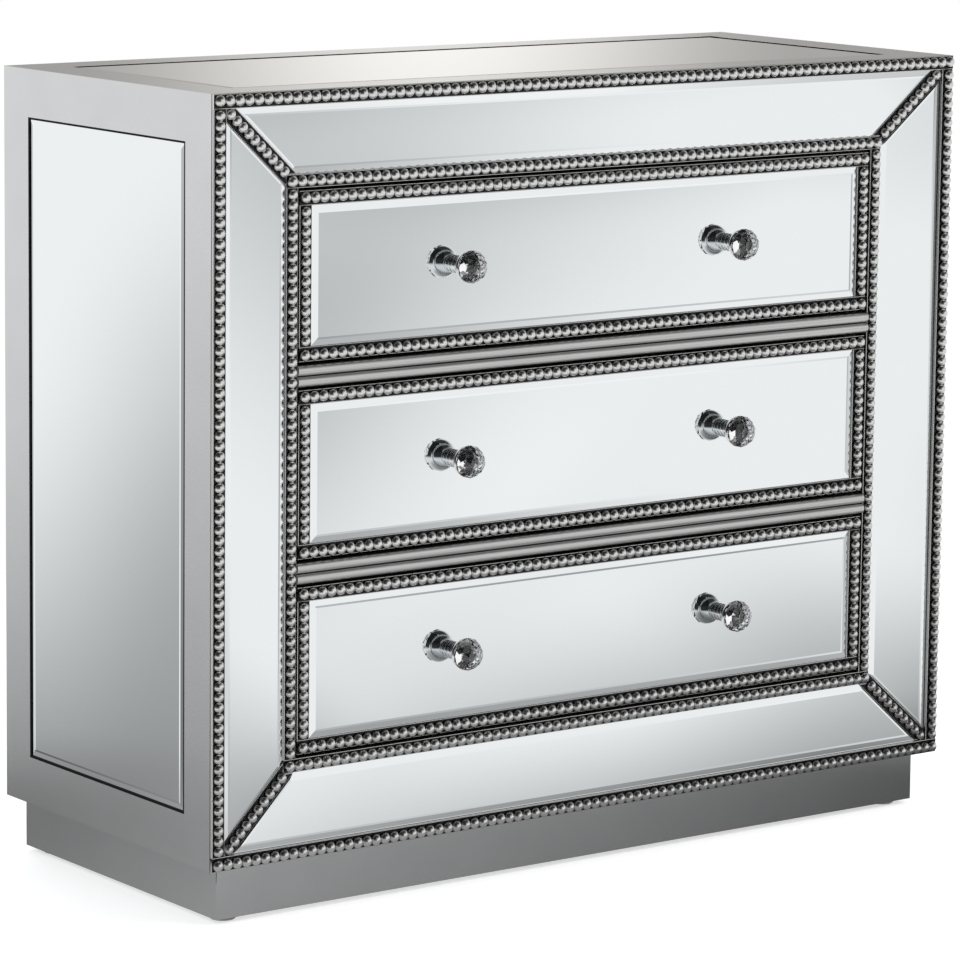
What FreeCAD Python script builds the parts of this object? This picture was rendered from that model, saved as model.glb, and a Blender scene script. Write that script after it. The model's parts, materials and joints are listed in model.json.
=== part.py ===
import FreeCAD, Part
import math
import os

# A mirrored chest of three drawers: a painted board case with inlaid bevelled mirrors,
# a dished picture-frame front edged with bead moulding, and crystal knobs.
# Lengths are millimetres.  +X is the chest's right as one faces it, +Y its back, +Z up.
# The solids are first placed with y = 0 on the front plane of the case and z = 0 on the
# floor.  They are written with the origin under the middle of the whole chest.

Vector = FreeCAD.Vector

# ------------------------------------------------------------------ driving sizes: case
case_width = 965.0
case_depth = 394.0
overall_height = 838.0
panel_thickness = 18.0
back_thickness = 5.0
back_rabbet = 9.0             # width of panel edge that the back panel covers

glide_height = 5.5
glide_diameter = 28.0
glide_edge = 1.5              # chamfer round the glide's lower rim
glide_pin_diameter = 3.0
glide_pin_length = 18.0
glide_pin_inset = 5.0         # from a corner block's outer faces to the pin's middle

plinth_height = 55.5
plinth_thickness = 18.0
plinth_inset_side = 18.0
plinth_inset_front = 16.5
plinth_inset_back = 9.5
corner_block_size = 40.0

# ---------------------------------------------------------------- driving sizes: mirrors
glass_thickness = 4.0
bevel_width = 7.0
bevel_drop = 1.0
glass_clearance = 0.3         # between a front mirror and the mouldings round it
inlay_gap = 2.2               # open joint round a mirror that is let into a panel
inlay_set_back = 0.5          # an inlaid mirror's face lies this far under the panel's face
side_inlay_margin_y = 48.0
side_inlay_margin_z = 50.0
top_inlay_margin_x = 53.0
top_inlay_margin_y = 46.0

# ------------------------------------------------------------ driving sizes: front frame
frame_thickness = 24.0
border_side = 93.0            # outer edge of the front to the inner bead moulding
border_top = 84.5
border_bottom = 87.0
border_dish = 8.0             # the border's inner edge lies this much deeper than its rim
moulding_thickness = 4.5      # flat backing of every bead moulding
outer_moulding_width = 15.0
outer_moulding_proud = 3.0    # the outer moulding's backing stands this far forward
inner_moulding_width = 14.0
mitre_moulding_width = 16.6
drawer_moulding_width = 15.0
bead_diameter = 10.8          # in the upright and mitre rows
level_bead_diameter = 11.52   # in the level rows
bead_merge = 0.15             # neighbouring beads run into each other by at least this
bead_margin = 1.0             # from a moulding's outer edge to its beads
mitre_row_clearance = 0.4     # between the beads on a mitre and what meets its ends

divider_height = 22.4
divider_depth = 70.0
reed_base = 4.0
reed_rise = 3.5
reed_count = 2
runner_panel_thickness = 15.0

# -------------------------------------------------------------- driving sizes: drawers
drawer_names = ("upper", "middle", "lower")
reveal_side = 2.5
reveal_height = 3.0
drawer_face_depth = 9.0       # the drawer mirrors' faces lie this far behind the front plane
drawer_front_thickness = 16.0
box_side_thickness = 12.0
box_lift = 14.0               # the box's lower edge above the drawer front's lower edge
box_headroom = 24.0           # the box's upper edge under the drawer front's upper edge
box_back_clearance = 20.0
floor_thickness = 6.0
floor_groove = 6.0
floor_lift = 10.0

knob_spacing = 358.0
knob_length = 39.0            # mirror face to the crystal's tip
knob_foot_diameter = 19.0
knob_groove_depth = 1.7
knob_ring_count = 2
knob_ring_pitch = 5.4
knob_neck_diameter = 12.0
knob_cup_flare = 6.7          # from the neck to the crystal's back
knob_cup_reach = 0.33         # share of the crystal's depth that the cup covers
knob_cup_wall = 0.7           # metal outside the crystal at the cup's rim
knob_cup_bend = (0.62, 0.36)  # where the cup's curve passes, as shares of its width and length
crystal_diameter = 34.0
crystal_facets = 12
crystal_depths = (0.0, 0.2, 0.47, 0.76, 1.0)     # rings of corners, as shares of its depth
crystal_radii = (0.6, 0.88, 1.0, 0.83, 0.43)     # and of its radius

# --------------------------------------------------------------- driving sizes: slides
slide_length = 300.0
slide_travel = 225.0
slide_set_back = 3.0          # front end of the slide behind the drawer's front board
slide_space = 12.7            # between runner panel and drawer side
slide_height = 36.0
slide_lift = 45.0             # slide's middle above the box's lower edge
slide_wall = 1.2
channel_flange = 9.0
bar_flange_gap = 3.6          # from the runner panel to the bar's flanges
ball_diameter = 4.4
ball_clearance = 0.3
ball_count = 6
cage_wall = 0.8
cage_margin = 1.2             # metal beyond the balls

# -------------------------------------------------------------- driving sizes: screws
screw_diameter = 3.2
screw_head_diameter = 6.8
slide_screw_length = 10.0
slide_screw_end = 20.0        # from a slide's end to its outermost screw
back_screw_length = 25.0
back_screw_head = 2.0
back_screws_per_edge = 4
back_screw_end = 60.0         # from the case's corners to the outermost back screws
knob_screw_diameter = 4.0
knob_screw_grip = 8.0         # length of thread inside the knob's post
knob_screw_head_diameter = 8.0
knob_screw_head = 2.5

# ------------------------------------------------------------------------ derived places
half_width = case_width / 2
case_top = overall_height
case_bottom = glide_height + plinth_height
inside_half_width = half_width - panel_thickness
inside_bottom = case_bottom + panel_thickness
inside_top = case_top - panel_thickness
panel_front = frame_thickness
panel_back = case_depth
back_panel_face = case_depth - back_thickness

frame_reach_side = border_side + inner_moulding_width
frame_reach_top = border_top + inner_moulding_width
frame_reach_bottom = border_bottom + inner_moulding_width
opening_half_width = half_width - frame_reach_side
opening_top = case_top - frame_reach_top
opening_bottom = case_bottom + frame_reach_bottom
outer_seat = moulding_thickness - outer_moulding_proud
inner_seat = border_dish + glass_thickness

bead_radius = bead_diameter / 2
bead_pitch = bead_diameter - bead_merge
outer_bead_line = bead_margin + level_bead_diameter / 2

drawer_total = len(drawer_names)
opening_height = opening_top - opening_bottom
dividers_height = (drawer_total - 1) * divider_height
drawer_height = (opening_height - dividers_height) / drawer_total - 2 * reveal_height
drawer_pitch = drawer_height + 2 * reveal_height + divider_height
drawer_half_width = opening_half_width - reveal_side
drawer_seat = drawer_face_depth + glass_thickness
drawer_front_back = drawer_seat + drawer_front_thickness

box_half_width = opening_half_width - slide_space
box_rear = back_panel_face - box_back_clearance
floor_half_width = box_half_width - box_side_thickness + floor_groove

slide_front = drawer_front_back + slide_set_back
bar_half_height = slide_height / 2 - slide_wall - ball_diameter - 2 * ball_clearance
ball_line = bar_half_height + ball_clearance + ball_diameter / 2
ball_place = (bar_flange_gap + channel_flange) / 2
cage_length = slide_length - slide_travel
cage_front = slide_front + slide_travel / 2
cage_face = (slide_wall + bar_flange_gap - cage_wall) / 2

crystal_radius = crystal_diameter / 2
knob_neck_start = knob_ring_count * knob_ring_pitch
crystal_start = knob_neck_start + knob_cup_flare
crystal_depth = knob_length - crystal_start
knob_tip = drawer_face_depth - knob_length
to_origin = Vector(0, -(knob_tip + case_depth) / 2, 0)


# --------------------------------------------------------------------- general helpers
def box(x0, x1, y0, y1, z0, z1):
    """A block between two corners."""
    return Part.makeBox(x1 - x0, y1 - y0, z1 - z0, Vector(x0, y0, z0))


def prism(points, sweep):
    """A flat outline pushed along a vector."""
    return Part.Face(Part.makePolygon(points + points[:1])).extrude(sweep)


def turned(points):
    """An outline of (radius, height) pairs turned about the Z axis."""
    outline = [Vector(radius, 0, height) for radius, height in points]
    face = Part.Face(Part.makePolygon(outline + outline[:1]))
    return face.revolve(Vector(0, 0, 0), Vector(0, 0, 1), 360)


def closed_solid(loops):
    """A solid from the corner loops of its flat faces."""
    shell = Part.Shell([Part.Face(Part.makePolygon(loop + loop[:1])) for loop in loops])
    shell.sewShape()
    solid = Part.Solid(shell)
    if solid.Volume < 0:
        solid.reverse()
    return solid


def ringed_solid(rings):
    """A solid whose rings of corners are joined by four-sided faces."""
    loops = [rings[0], rings[-1]]
    for near, far in zip(rings, rings[1:]):
        for i in range(len(near)):
            j = (i + 1) % len(near)
            loops.append([near[i], near[j], far[j], far[i]])
    return closed_solid(loops)


def rod(start, direction, diameter, length):
    """A round bar from a point along a direction."""
    return Part.makeCylinder(diameter / 2, length, start, direction)


def screw(tip_start, direction, shank, length, head_width, head_height):
    """A screw whose head ends, and whose shank starts, at the given point."""
    head = rod(tip_start - direction * head_height, direction, head_width, head_height)
    return head.fuse(rod(tip_start, direction, shank, length)).removeSplitter()


def cut_all(shape, tools):
    """A shape with every tool taken out of it."""
    for tool in tools:
        shape = shape.cut(tool)
    return shape


def spread(first, last, count):
    """Evenly spaced places from the first to the last."""
    return [first + (last - first) * i / (count - 1) for i in range(count)]


def both_sides(shape):
    """A shape and its mirror image on the other side of the chest."""
    return [shape, shape.mirror(Vector(0, 0, 0), Vector(1, 0, 0))]


def bevelled_glass(outline, back):
    """A plate of glass with a bevelled face; back is the way through the glass."""
    inner = []
    for i, corner in enumerate(outline):
        before = (corner - outline[i - 1]).normalize()
        after = (outline[(i + 1) % len(outline)] - corner).normalize()
        turn = before.cross(after).Length
        inner.append(corner + (after - before) * (bevel_width / turn))
    edge = [corner + back * bevel_drop for corner in outline]
    rear = [corner + back * glass_thickness for corner in outline]
    return ringed_solid([inner, edge, rear])


# ------------------------------------------------------------------------ bead moulding
def bead_row(length, diameter):
    """Half-round beads in a row along +X, bulging towards -Y, flat side at y = 0."""
    radius = diameter / 2
    count = math.ceil(length / (diameter - bead_merge))
    pitch = length / count
    neck = math.sqrt(radius ** 2 - (pitch / 2) ** 2)
    outline = []
    start = Vector(0, 0, neck)
    for i in range(count):
        crown = Vector((i + 0.5) * pitch, 0, radius)
        end = Vector((i + 1) * pitch, 0, neck)
        outline.append(Part.Arc(start, crown, end).toShape())
        start = end
    corners = [start, Vector(length, 0, 0), Vector(0, 0, 0), Vector(0, 0, neck)]
    for here, there in zip(corners, corners[1:]):
        outline.append(Part.makeLine(here, there))
    return Part.Face(Part.Wire(outline)).revolve(Vector(0, 0, 0), Vector(1, 0, 0), 180)


def moulding(length, width, bead_line, diameter):
    """A flat strip along +X with its back at y = 0 and its outer edge at z = 0."""
    beads = bead_row(length, diameter).translated(Vector(0, -moulding_thickness, bead_line))
    strip = box(0, length, -moulding_thickness, 0, 0, width)
    return strip.fuse(beads).Solids[0]


def laid(shape, turn, corner):
    """A moulding turned in the plane of the front and set with its start at a corner."""
    return shape.rotated(Vector(0, 0, 0), Vector(0, 1, 0), turn).translated(corner)


def moulding_frame(half_span, low, high, seat, width, bead_line):
    """Four mouldings round a rectangle: long ones above and below, short ones between."""
    level = moulding(2 * half_span, width, bead_line, level_bead_diameter)
    upright = moulding(high - low - 2 * width, width, bead_line, bead_diameter)
    return [
        laid(level, 180, Vector(half_span, seat, high)),
        laid(level, 0, Vector(-half_span, seat, low)),
        laid(upright, 90, Vector(-half_span, seat, high - width)),
        laid(upright, -90, Vector(half_span, seat, low + width)),
    ]


# -------------------------------------------------------------------- the dished border
# A place on the border is given by s, its distance in from the outer edge of one side,
# and y, its depth behind the front plane.

def border_depth(s, reach):
    """Depth of the dished glass face at s, where the glass runs from rim to reach."""
    return border_dish * (s - outer_moulding_width) / (reach - outer_moulding_width)


def frame_profile(reach):
    """Section through a frame member: rim seat, dished bed for the glass, inner seat."""
    inner_edge = reach + inner_moulding_width
    return [
        (0, outer_seat),
        (outer_moulding_width, outer_seat),
        (outer_moulding_width, glass_thickness),
        (reach, inner_seat),
        (inner_edge, inner_seat),
        (inner_edge, frame_thickness),
        (0, frame_thickness),
    ]


def frame_stile(side):
    """An upright of the front frame; side is -1 for the left one and 1 for the right."""
    rings = [[], []]
    for s, y in frame_profile(border_side):
        share = s / frame_reach_side
        x = side * (half_width - s)
        rings[0].append(Vector(x, y, case_bottom + share * frame_reach_bottom))
        rings[1].append(Vector(x, y, case_top - share * frame_reach_top))
    return ringed_solid(rings)


def frame_rail(edge, inward, reach):
    """A level member of the front frame, from its outer edge's height inwards."""
    rings = [[], []]
    for s, y in frame_profile(reach):
        share = s / (reach + inner_moulding_width)
        half_length = half_width - share * frame_reach_side
        rings[0].append(Vector(-half_length, y, edge + inward * s))
        rings[1].append(Vector(half_length, y, edge + inward * s))
    return ringed_solid(rings)


def mitre_angle(reach):
    """Angle of a mitre above the level, for a rail whose glass runs in to reach."""
    return math.atan2(reach - outer_moulding_width, border_side - outer_moulding_width)


def border_glass_side(side):
    """The bevelled mirror on a stile."""
    outline = []
    half_strip = mitre_moulding_width / 2 + glass_clearance
    near = outer_moulding_width + glass_clearance
    far = border_side - glass_clearance
    above = half_strip / math.cos(mitre_angle(border_top))
    below = half_strip / math.cos(mitre_angle(border_bottom))
    slope_top = math.tan(mitre_angle(border_top))
    slope_bottom = math.tan(mitre_angle(border_bottom))
    for s, low_end in ((near, True), (far, True), (far, False), (near, False)):
        run = s - outer_moulding_width
        if low_end:
            z = case_bottom + outer_moulding_width + run * slope_bottom + below
        else:
            z = case_top - outer_moulding_width - run * slope_top - above
        outline.append(Vector(side * (half_width - s), border_depth(s, border_side), z))
    return bevelled_glass(outline, Vector(0, 1, 0))


def border_glass_level(edge, inward, reach):
    """The bevelled mirror on a rail."""
    outline = []
    half_strip = mitre_moulding_width / 2 + glass_clearance
    aside = half_strip / math.sin(mitre_angle(reach))
    slope = math.tan(mitre_angle(reach))
    near = outer_moulding_width + glass_clearance
    far = reach - glass_clearance
    for s, side in ((near, -1), (near, 1), (far, 1), (far, -1)):
        run = (s - outer_moulding_width) / slope
        x = half_width - outer_moulding_width - run - aside
        outline.append(Vector(side * x, border_depth(s, reach), edge + inward * s))
    return bevelled_glass(outline, Vector(0, 1, 0))


def mitre_moulding(edge, inward, reach, bed):
    """The beaded strip over the left mitre of a rail, seated on the frame members."""
    angle = mitre_angle(reach)
    half_strip = mitre_moulding_width / 2
    aside = half_strip / math.sin(angle)
    along = half_strip / math.cos(angle)
    plan = [
        (outer_moulding_width, outer_moulding_width),
        (outer_moulding_width + aside, outer_moulding_width),
        (border_side + aside, reach),
        (border_side, reach),
        (border_side, reach + along),
        (outer_moulding_width, outer_moulding_width + along),
    ]
    corners = [Vector(s_x - half_width, -case_depth, edge + inward * s_z) for s_x, s_z in plan]
    plan_prism = prism(corners, Vector(0, 2 * case_depth, 0))

    outer_end = Vector(-half_width + outer_moulding_width, glass_thickness,
                       edge + inward * outer_moulding_width)
    inner_end = Vector(-half_width + border_side, inner_seat, edge + inward * reach)
    length = (inner_end - outer_end).Length
    tilt = math.degrees(math.asin(border_dish / length))
    lean = -inward * math.degrees(angle)
    turn = FreeCAD.Rotation(Vector(0, 1, 0), lean) * FreeCAD.Rotation(Vector(0, 0, 1), tilt)

    slab = box(-length, 2 * length, -moulding_thickness, 0, -half_strip, half_strip)
    slab.Placement = FreeCAD.Placement(outer_end, turn)
    strip = cut_all(slab.common(plan_prism), bed)

    row_start = bead_radius / math.sin(min(angle, math.pi / 2 - angle)) - bead_pitch / 2
    row_start = row_start + mitre_row_clearance
    beads = bead_row(length - row_start - mitre_row_clearance, bead_diameter)
    beads = beads.translated(Vector(row_start, -moulding_thickness, 0))
    beads.Placement = FreeCAD.Placement(outer_end, turn).multiply(beads.Placement)
    return strip.fuse(beads).Solids[0]


# -------------------------------------------------------------------------- the slides
def slide_section(points, z_middle, front, length):
    """A slide member for the right side: section points run from the runner panel in."""
    outline = [Vector(opening_half_width - out, front, z_middle + z) for out, z in points]
    return prism(outline, Vector(0, length, 0))


def slide_channel(z_middle):
    """The fixed member, a channel open towards the drawer."""
    tall = slide_height / 2
    inner = tall - slide_wall
    section = [(0, -tall), (channel_flange, -tall), (channel_flange, -inner),
               (slide_wall, -inner), (slide_wall, inner), (channel_flange, inner),
               (channel_flange, tall), (0, tall)]
    return slide_section(section, z_middle, slide_front, slide_length)


def slide_bar(z_middle):
    """The moving member, a channel open towards the runner panel."""
    tall = bar_half_height
    inner = tall - slide_wall
    web = slide_space - slide_wall
    section = [(slide_space, -tall), (slide_space, tall), (bar_flange_gap, tall),
               (bar_flange_gap, inner), (web, inner), (web, -inner),
               (bar_flange_gap, -inner), (bar_flange_gap, -tall)]
    return slide_section(section, z_middle, slide_front, slide_length)


def ball_places(z_middle):
    """Centres of the balls of one right-hand cage at rest."""
    end = ball_diameter / 2 + cage_margin
    places = []
    for y in spread(cage_front + end, cage_front + cage_length - end, ball_count):
        for z in (z_middle - ball_line, z_middle + ball_line):
            places.append(Vector(opening_half_width - ball_place, y, z))
    return places


def ball_cage(z_middle):
    """The pressed strip that keeps the balls apart, with a hole for each ball."""
    tall = ball_line + cage_wall / 2
    inner = ball_line - cage_wall / 2
    lip = ball_place + ball_diameter / 2 + cage_margin
    web = cage_face + cage_wall
    section = [(cage_face, -tall), (lip, -tall), (lip, -inner), (web, -inner),
               (web, inner), (lip, inner), (lip, tall), (cage_face, tall)]
    cage = slide_section(section, z_middle, cage_front, cage_length)
    hole = ball_diameter + cage_wall / 4
    holes = [rod(place - Vector(0, 0, cage_wall), Vector(0, 0, 1), hole, 2 * cage_wall)
             for place in ball_places(z_middle)]
    return cut_all(cage, holes)


def slide_screws(z_middle, out, direction, count):
    """Screws through a slide member's web, whose heads lie flush in the web."""
    first = slide_front + slide_screw_end
    last = slide_front + slide_length - slide_screw_end
    return [screw(Vector(opening_half_width - out, y, z_middle), direction, screw_diameter,
                  slide_screw_length, screw_head_diameter, slide_wall)
            for y in spread(first, last, count)]


# --------------------------------------------------------------------------- the knobs
def crystal_back_outline(reach):
    """The crystal's half outline from its flat back forwards to a share of its depth."""
    points = []
    stops = list(zip(crystal_depths, crystal_radii))
    for (depth, radius), (next_depth, next_radius) in zip(stops, stops[1:]):
        points.append(Vector(crystal_radius * radius, 0, crystal_start + crystal_depth * depth))
        if next_depth > reach:
            share = (reach - depth) / (next_depth - depth)
            radius += (next_radius - radius) * share
            break
    points.append(Vector(crystal_radius * radius, 0, crystal_start + crystal_depth * reach))
    return points


def knob_post():
    """The turned metal post: ringed foot, neck and cup, standing on z = 0."""
    foot = knob_foot_diameter / 2
    neck = knob_neck_diameter / 2
    groove = foot - knob_groove_depth
    start = Vector(groove, 0, 0)
    outline = [Part.makeLine(Vector(0, 0, 0), start)]
    for i in range(knob_ring_count):
        crest = Vector(foot, 0, (i + 0.5) * knob_ring_pitch)
        end = Vector(groove, 0, (i + 1) * knob_ring_pitch)
        outline.append(Part.Arc(start, crest, end).toShape())
        start = end
    seat = crystal_back_outline(knob_cup_reach)
    across, along = knob_cup_bend
    throat = Vector(neck, 0, knob_neck_start)
    rim = seat[-1] + Vector(knob_cup_wall, 0, 0)
    bend = Vector(neck + (rim.x - neck) * across, 0,
                  knob_neck_start + (rim.z - knob_neck_start) * along)
    outline.append(Part.makeLine(start, throat))
    outline.append(Part.Arc(throat, bend, rim).toShape())
    corners = [rim, *reversed(seat), Vector(0, 0, crystal_start), Vector(0, 0, 0)]
    for here, there in zip(corners, corners[1:]):
        outline.append(Part.makeLine(here, there))
    post = Part.Face(Part.Wire(outline)).revolve(Vector(0, 0, 0), Vector(0, 0, 1), 360)
    return post.cut(rod(Vector(0, 0, 0), Vector(0, 0, 1), knob_screw_diameter, knob_screw_grip))


def crystal():
    """The faceted crystal: rings of corners, each turned half a facet from the last."""
    rings = []
    for number, (depth, radius) in enumerate(zip(crystal_depths, crystal_radii)):
        ring = []
        for i in range(crystal_facets):
            angle = 2 * math.pi * (i + number / 2) / crystal_facets
            ring.append(Vector(crystal_radius * radius * math.cos(angle),
                               crystal_radius * radius * math.sin(angle),
                               crystal_start + crystal_depth * depth))
        rings.append(ring)
    loops = [rings[0], rings[-1]]
    for near, far in zip(rings, rings[1:]):
        for i in range(crystal_facets):
            j = (i + 1) % crystal_facets
            loops.append([near[i], near[j], far[i]])
            loops.append([near[j], far[j], far[i]])
    return closed_solid(loops)


def on_mirror(shape, x, z):
    """A shape built upwards from z = 0, stood on a drawer mirror and pointing forwards."""
    turned_forward = shape.rotated(Vector(0, 0, 0), Vector(1, 0, 0), 90)
    return turned_forward.translated(Vector(x, drawer_face_depth, z))


# --------------------------------------------------------------------- building the case
parts = {}

back_box = box(back_rabbet - half_width, half_width - back_rabbet, back_panel_face, panel_back,
               case_bottom + back_rabbet, case_top - back_rabbet)

# Side panels, mitred to the top panel, with a shallow pocket for the side mirror.
side_section = [
    Vector(-half_width, panel_front, case_bottom),
    Vector(-inside_half_width, panel_front, case_bottom),
    Vector(-inside_half_width, panel_front, inside_top),
    Vector(-half_width, panel_front, case_top),
]
pocket_depth = inlay_set_back + glass_thickness
side_low = case_bottom + side_inlay_margin_z
side_high = case_top - side_inlay_margin_z
side_pocket = box(-half_width, pocket_depth - half_width,
                  side_inlay_margin_y, case_depth - side_inlay_margin_y, side_low, side_high)
side_panel = prism(side_section, Vector(0, panel_back - panel_front, 0))
side_panel = cut_all(side_panel, [side_pocket, back_box])

side_face = inlay_set_back - half_width
side_y0 = side_inlay_margin_y + inlay_gap
side_y1 = case_depth - side_inlay_margin_y - inlay_gap
side_glass_outline = [
    Vector(side_face, side_y0, side_low + inlay_gap),
    Vector(side_face, side_y1, side_low + inlay_gap),
    Vector(side_face, side_y1, side_high - inlay_gap),
    Vector(side_face, side_y0, side_high - inlay_gap),
]
side_glass = bevelled_glass(side_glass_outline, Vector(1, 0, 0))

# Top panel, mitred at both ends, with a pocket for the top mirror.
top_section = [
    Vector(-half_width, panel_front, case_top),
    Vector(half_width, panel_front, case_top),
    Vector(inside_half_width, panel_front, inside_top),
    Vector(-inside_half_width, panel_front, inside_top),
]
top_half = half_width - top_inlay_margin_x
top_pocket = box(-top_half, top_half, top_inlay_margin_y, case_depth - top_inlay_margin_y,
                 case_top - pocket_depth, case_top)
top_panel = prism(top_section, Vector(0, panel_back - panel_front, 0))
top_panel = cut_all(top_panel, [top_pocket, back_box])

top_x = top_half - inlay_gap
top_y0 = top_inlay_margin_y + inlay_gap
top_y1 = case_depth - top_inlay_margin_y - inlay_gap
top_face = case_top - inlay_set_back
top_glass_outline = [
    Vector(-top_x, top_y0, top_face),
    Vector(top_x, top_y0, top_face),
    Vector(top_x, top_y1, top_face),
    Vector(-top_x, top_y1, top_face),
]
parts["top_mirror"] = [bevelled_glass(top_glass_outline, Vector(0, 0, -1))]

bottom_panel = box(-inside_half_width, inside_half_width, panel_front, panel_back,
                   case_bottom, inside_bottom).cut(back_box)

# Screws round the back panel, with heads flush in it.
ledge = (panel_thickness - back_rabbet) / 2
ledge_x = inside_half_width + ledge
forward = Vector(0, -1, 0)
back_places = []
for z in spread(case_bottom + back_screw_end, case_top - back_screw_end, back_screws_per_edge):
    back_places.append((-ledge_x, z))
    back_places.append((ledge_x, z))
for x in spread(back_screw_end - half_width, half_width - back_screw_end, back_screws_per_edge):
    back_places.append((x, inside_bottom - ledge))
    back_places.append((x, inside_top + ledge))
back_screws = [screw(Vector(x, panel_back - back_screw_head, z), forward, screw_diameter,
                     back_screw_length, screw_head_diameter, back_screw_head)
               for x, z in back_places]
parts["back_panel"] = [cut_all(back_box, back_screws)]
parts["bottom_panel"] = [cut_all(bottom_panel, back_screws)]
parts["top_panel"] = [cut_all(top_panel, back_screws)]

for name, panel, glass in zip(("left", "right"), both_sides(side_panel), both_sides(side_glass)):
    parts["side_panel_" + name] = [cut_all(panel, back_screws)]
    parts["side_mirror_" + name] = [glass]

# Plinth: boards front and back, short boards between them, blocks and glides in the corners.
plinth_half = half_width - plinth_inset_side
plinth_front_inner = plinth_inset_front + plinth_thickness
plinth_back_outer = case_depth - plinth_inset_back
plinth_back_inner = plinth_back_outer - plinth_thickness
plinth_inner_half = plinth_half - plinth_thickness
parts["plinth_front"] = [box(-plinth_half, plinth_half, plinth_inset_front, plinth_front_inner,
                             glide_height, case_bottom)]
parts["plinth_back"] = [box(-plinth_half, plinth_half, plinth_back_inner, plinth_back_outer,
                            glide_height, case_bottom)]
parts["plinth_sides"] = both_sides(box(-plinth_half, -plinth_inner_half, plinth_front_inner,
                                       plinth_back_inner, glide_height, case_bottom))

glide_radius = glide_diameter / 2
pin_radius = glide_pin_diameter / 2
glide = turned([
    (0, 0),
    (glide_radius - glide_edge, 0),
    (glide_radius, glide_edge),
    (glide_radius, glide_height),
    (pin_radius, glide_height),
    (pin_radius, glide_height + glide_pin_length),
    (0, glide_height + glide_pin_length),
])
blocks = []
glides = []
for y_outer, y_inward in ((plinth_front_inner, 1), (plinth_back_inner, -1)):
    y_far = y_outer + y_inward * corner_block_size
    pin_at = Vector(-plinth_inner_half + glide_pin_inset, y_outer + y_inward * glide_pin_inset, 0)
    standing = glide.translated(pin_at)
    block = box(-plinth_inner_half, corner_block_size - plinth_inner_half,
                min(y_outer, y_far), max(y_outer, y_far), glide_height, case_bottom)
    blocks.extend(both_sides(block.cut(standing)))
    glides.extend(both_sides(standing))
parts["plinth_corner_blocks"] = blocks
parts["glide_feet"] = glides

# -------------------------------------------------------------- building the front frame
stile_left = frame_stile(-1)
rail_top = frame_rail(case_top, -1, border_top)
rail_bottom = frame_rail(case_bottom, 1, border_bottom)
parts["frame_stile_left"] = [stile_left]
parts["frame_stile_right"] = [frame_stile(1)]
parts["frame_rail_top"] = [rail_top]
parts["frame_rail_bottom"] = [rail_bottom]
parts["border_mirror_left"] = [border_glass_side(-1)]
parts["border_mirror_right"] = [border_glass_side(1)]
parts["border_mirror_top"] = [border_glass_level(case_top, -1, border_top)]
parts["border_mirror_bottom"] = [border_glass_level(case_bottom, 1, border_bottom)]
parts["outer_bead_mouldings"] = moulding_frame(
    half_width, case_bottom, case_top, outer_seat, outer_moulding_width, outer_bead_line)
parts["inner_bead_mouldings"] = moulding_frame(
    half_width - border_side, case_bottom + border_bottom, case_top - border_top,
    inner_seat, inner_moulding_width, inner_moulding_width / 2)
upper_mitre = mitre_moulding(case_top, -1, border_top, [stile_left, rail_top])
lower_mitre = mitre_moulding(case_bottom, 1, border_bottom, [stile_left, rail_bottom])
parts["mitre_bead_mouldings"] = both_sides(upper_mitre) + both_sides(lower_mitre)

# Rails between the drawers, each faced with a double reed.
dividers = []
reeds = []
for i in range(drawer_total - 1):
    top = opening_top - (i + 1) * drawer_pitch + divider_height
    dividers.append(box(-opening_half_width, opening_half_width, inner_seat,
                        inner_seat + divider_depth, top - divider_height, top))
    reed_face = inner_seat - reed_base
    reed_height = divider_height / reed_count
    section = [
        Part.makeLine(Vector(-opening_half_width, reed_face, top),
                      Vector(-opening_half_width, inner_seat, top)),
        Part.makeLine(Vector(-opening_half_width, inner_seat, top),
                      Vector(-opening_half_width, inner_seat, top - divider_height)),
        Part.makeLine(Vector(-opening_half_width, inner_seat, top - divider_height),
                      Vector(-opening_half_width, reed_face, top - divider_height)),
    ]
    for number in range(reed_count):
        low = top - divider_height + number * reed_height
        section.append(Part.Arc(
            Vector(-opening_half_width, reed_face, low),
            Vector(-opening_half_width, reed_face - reed_rise, low + reed_height / 2),
            Vector(-opening_half_width, reed_face, low + reed_height)).toShape())
    reeds.append(Part.Face(Part.Wire(section)).extrude(Vector(2 * opening_half_width, 0, 0)))
parts["divider_rails"] = dividers
parts["reed_mouldings"] = reeds

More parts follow.
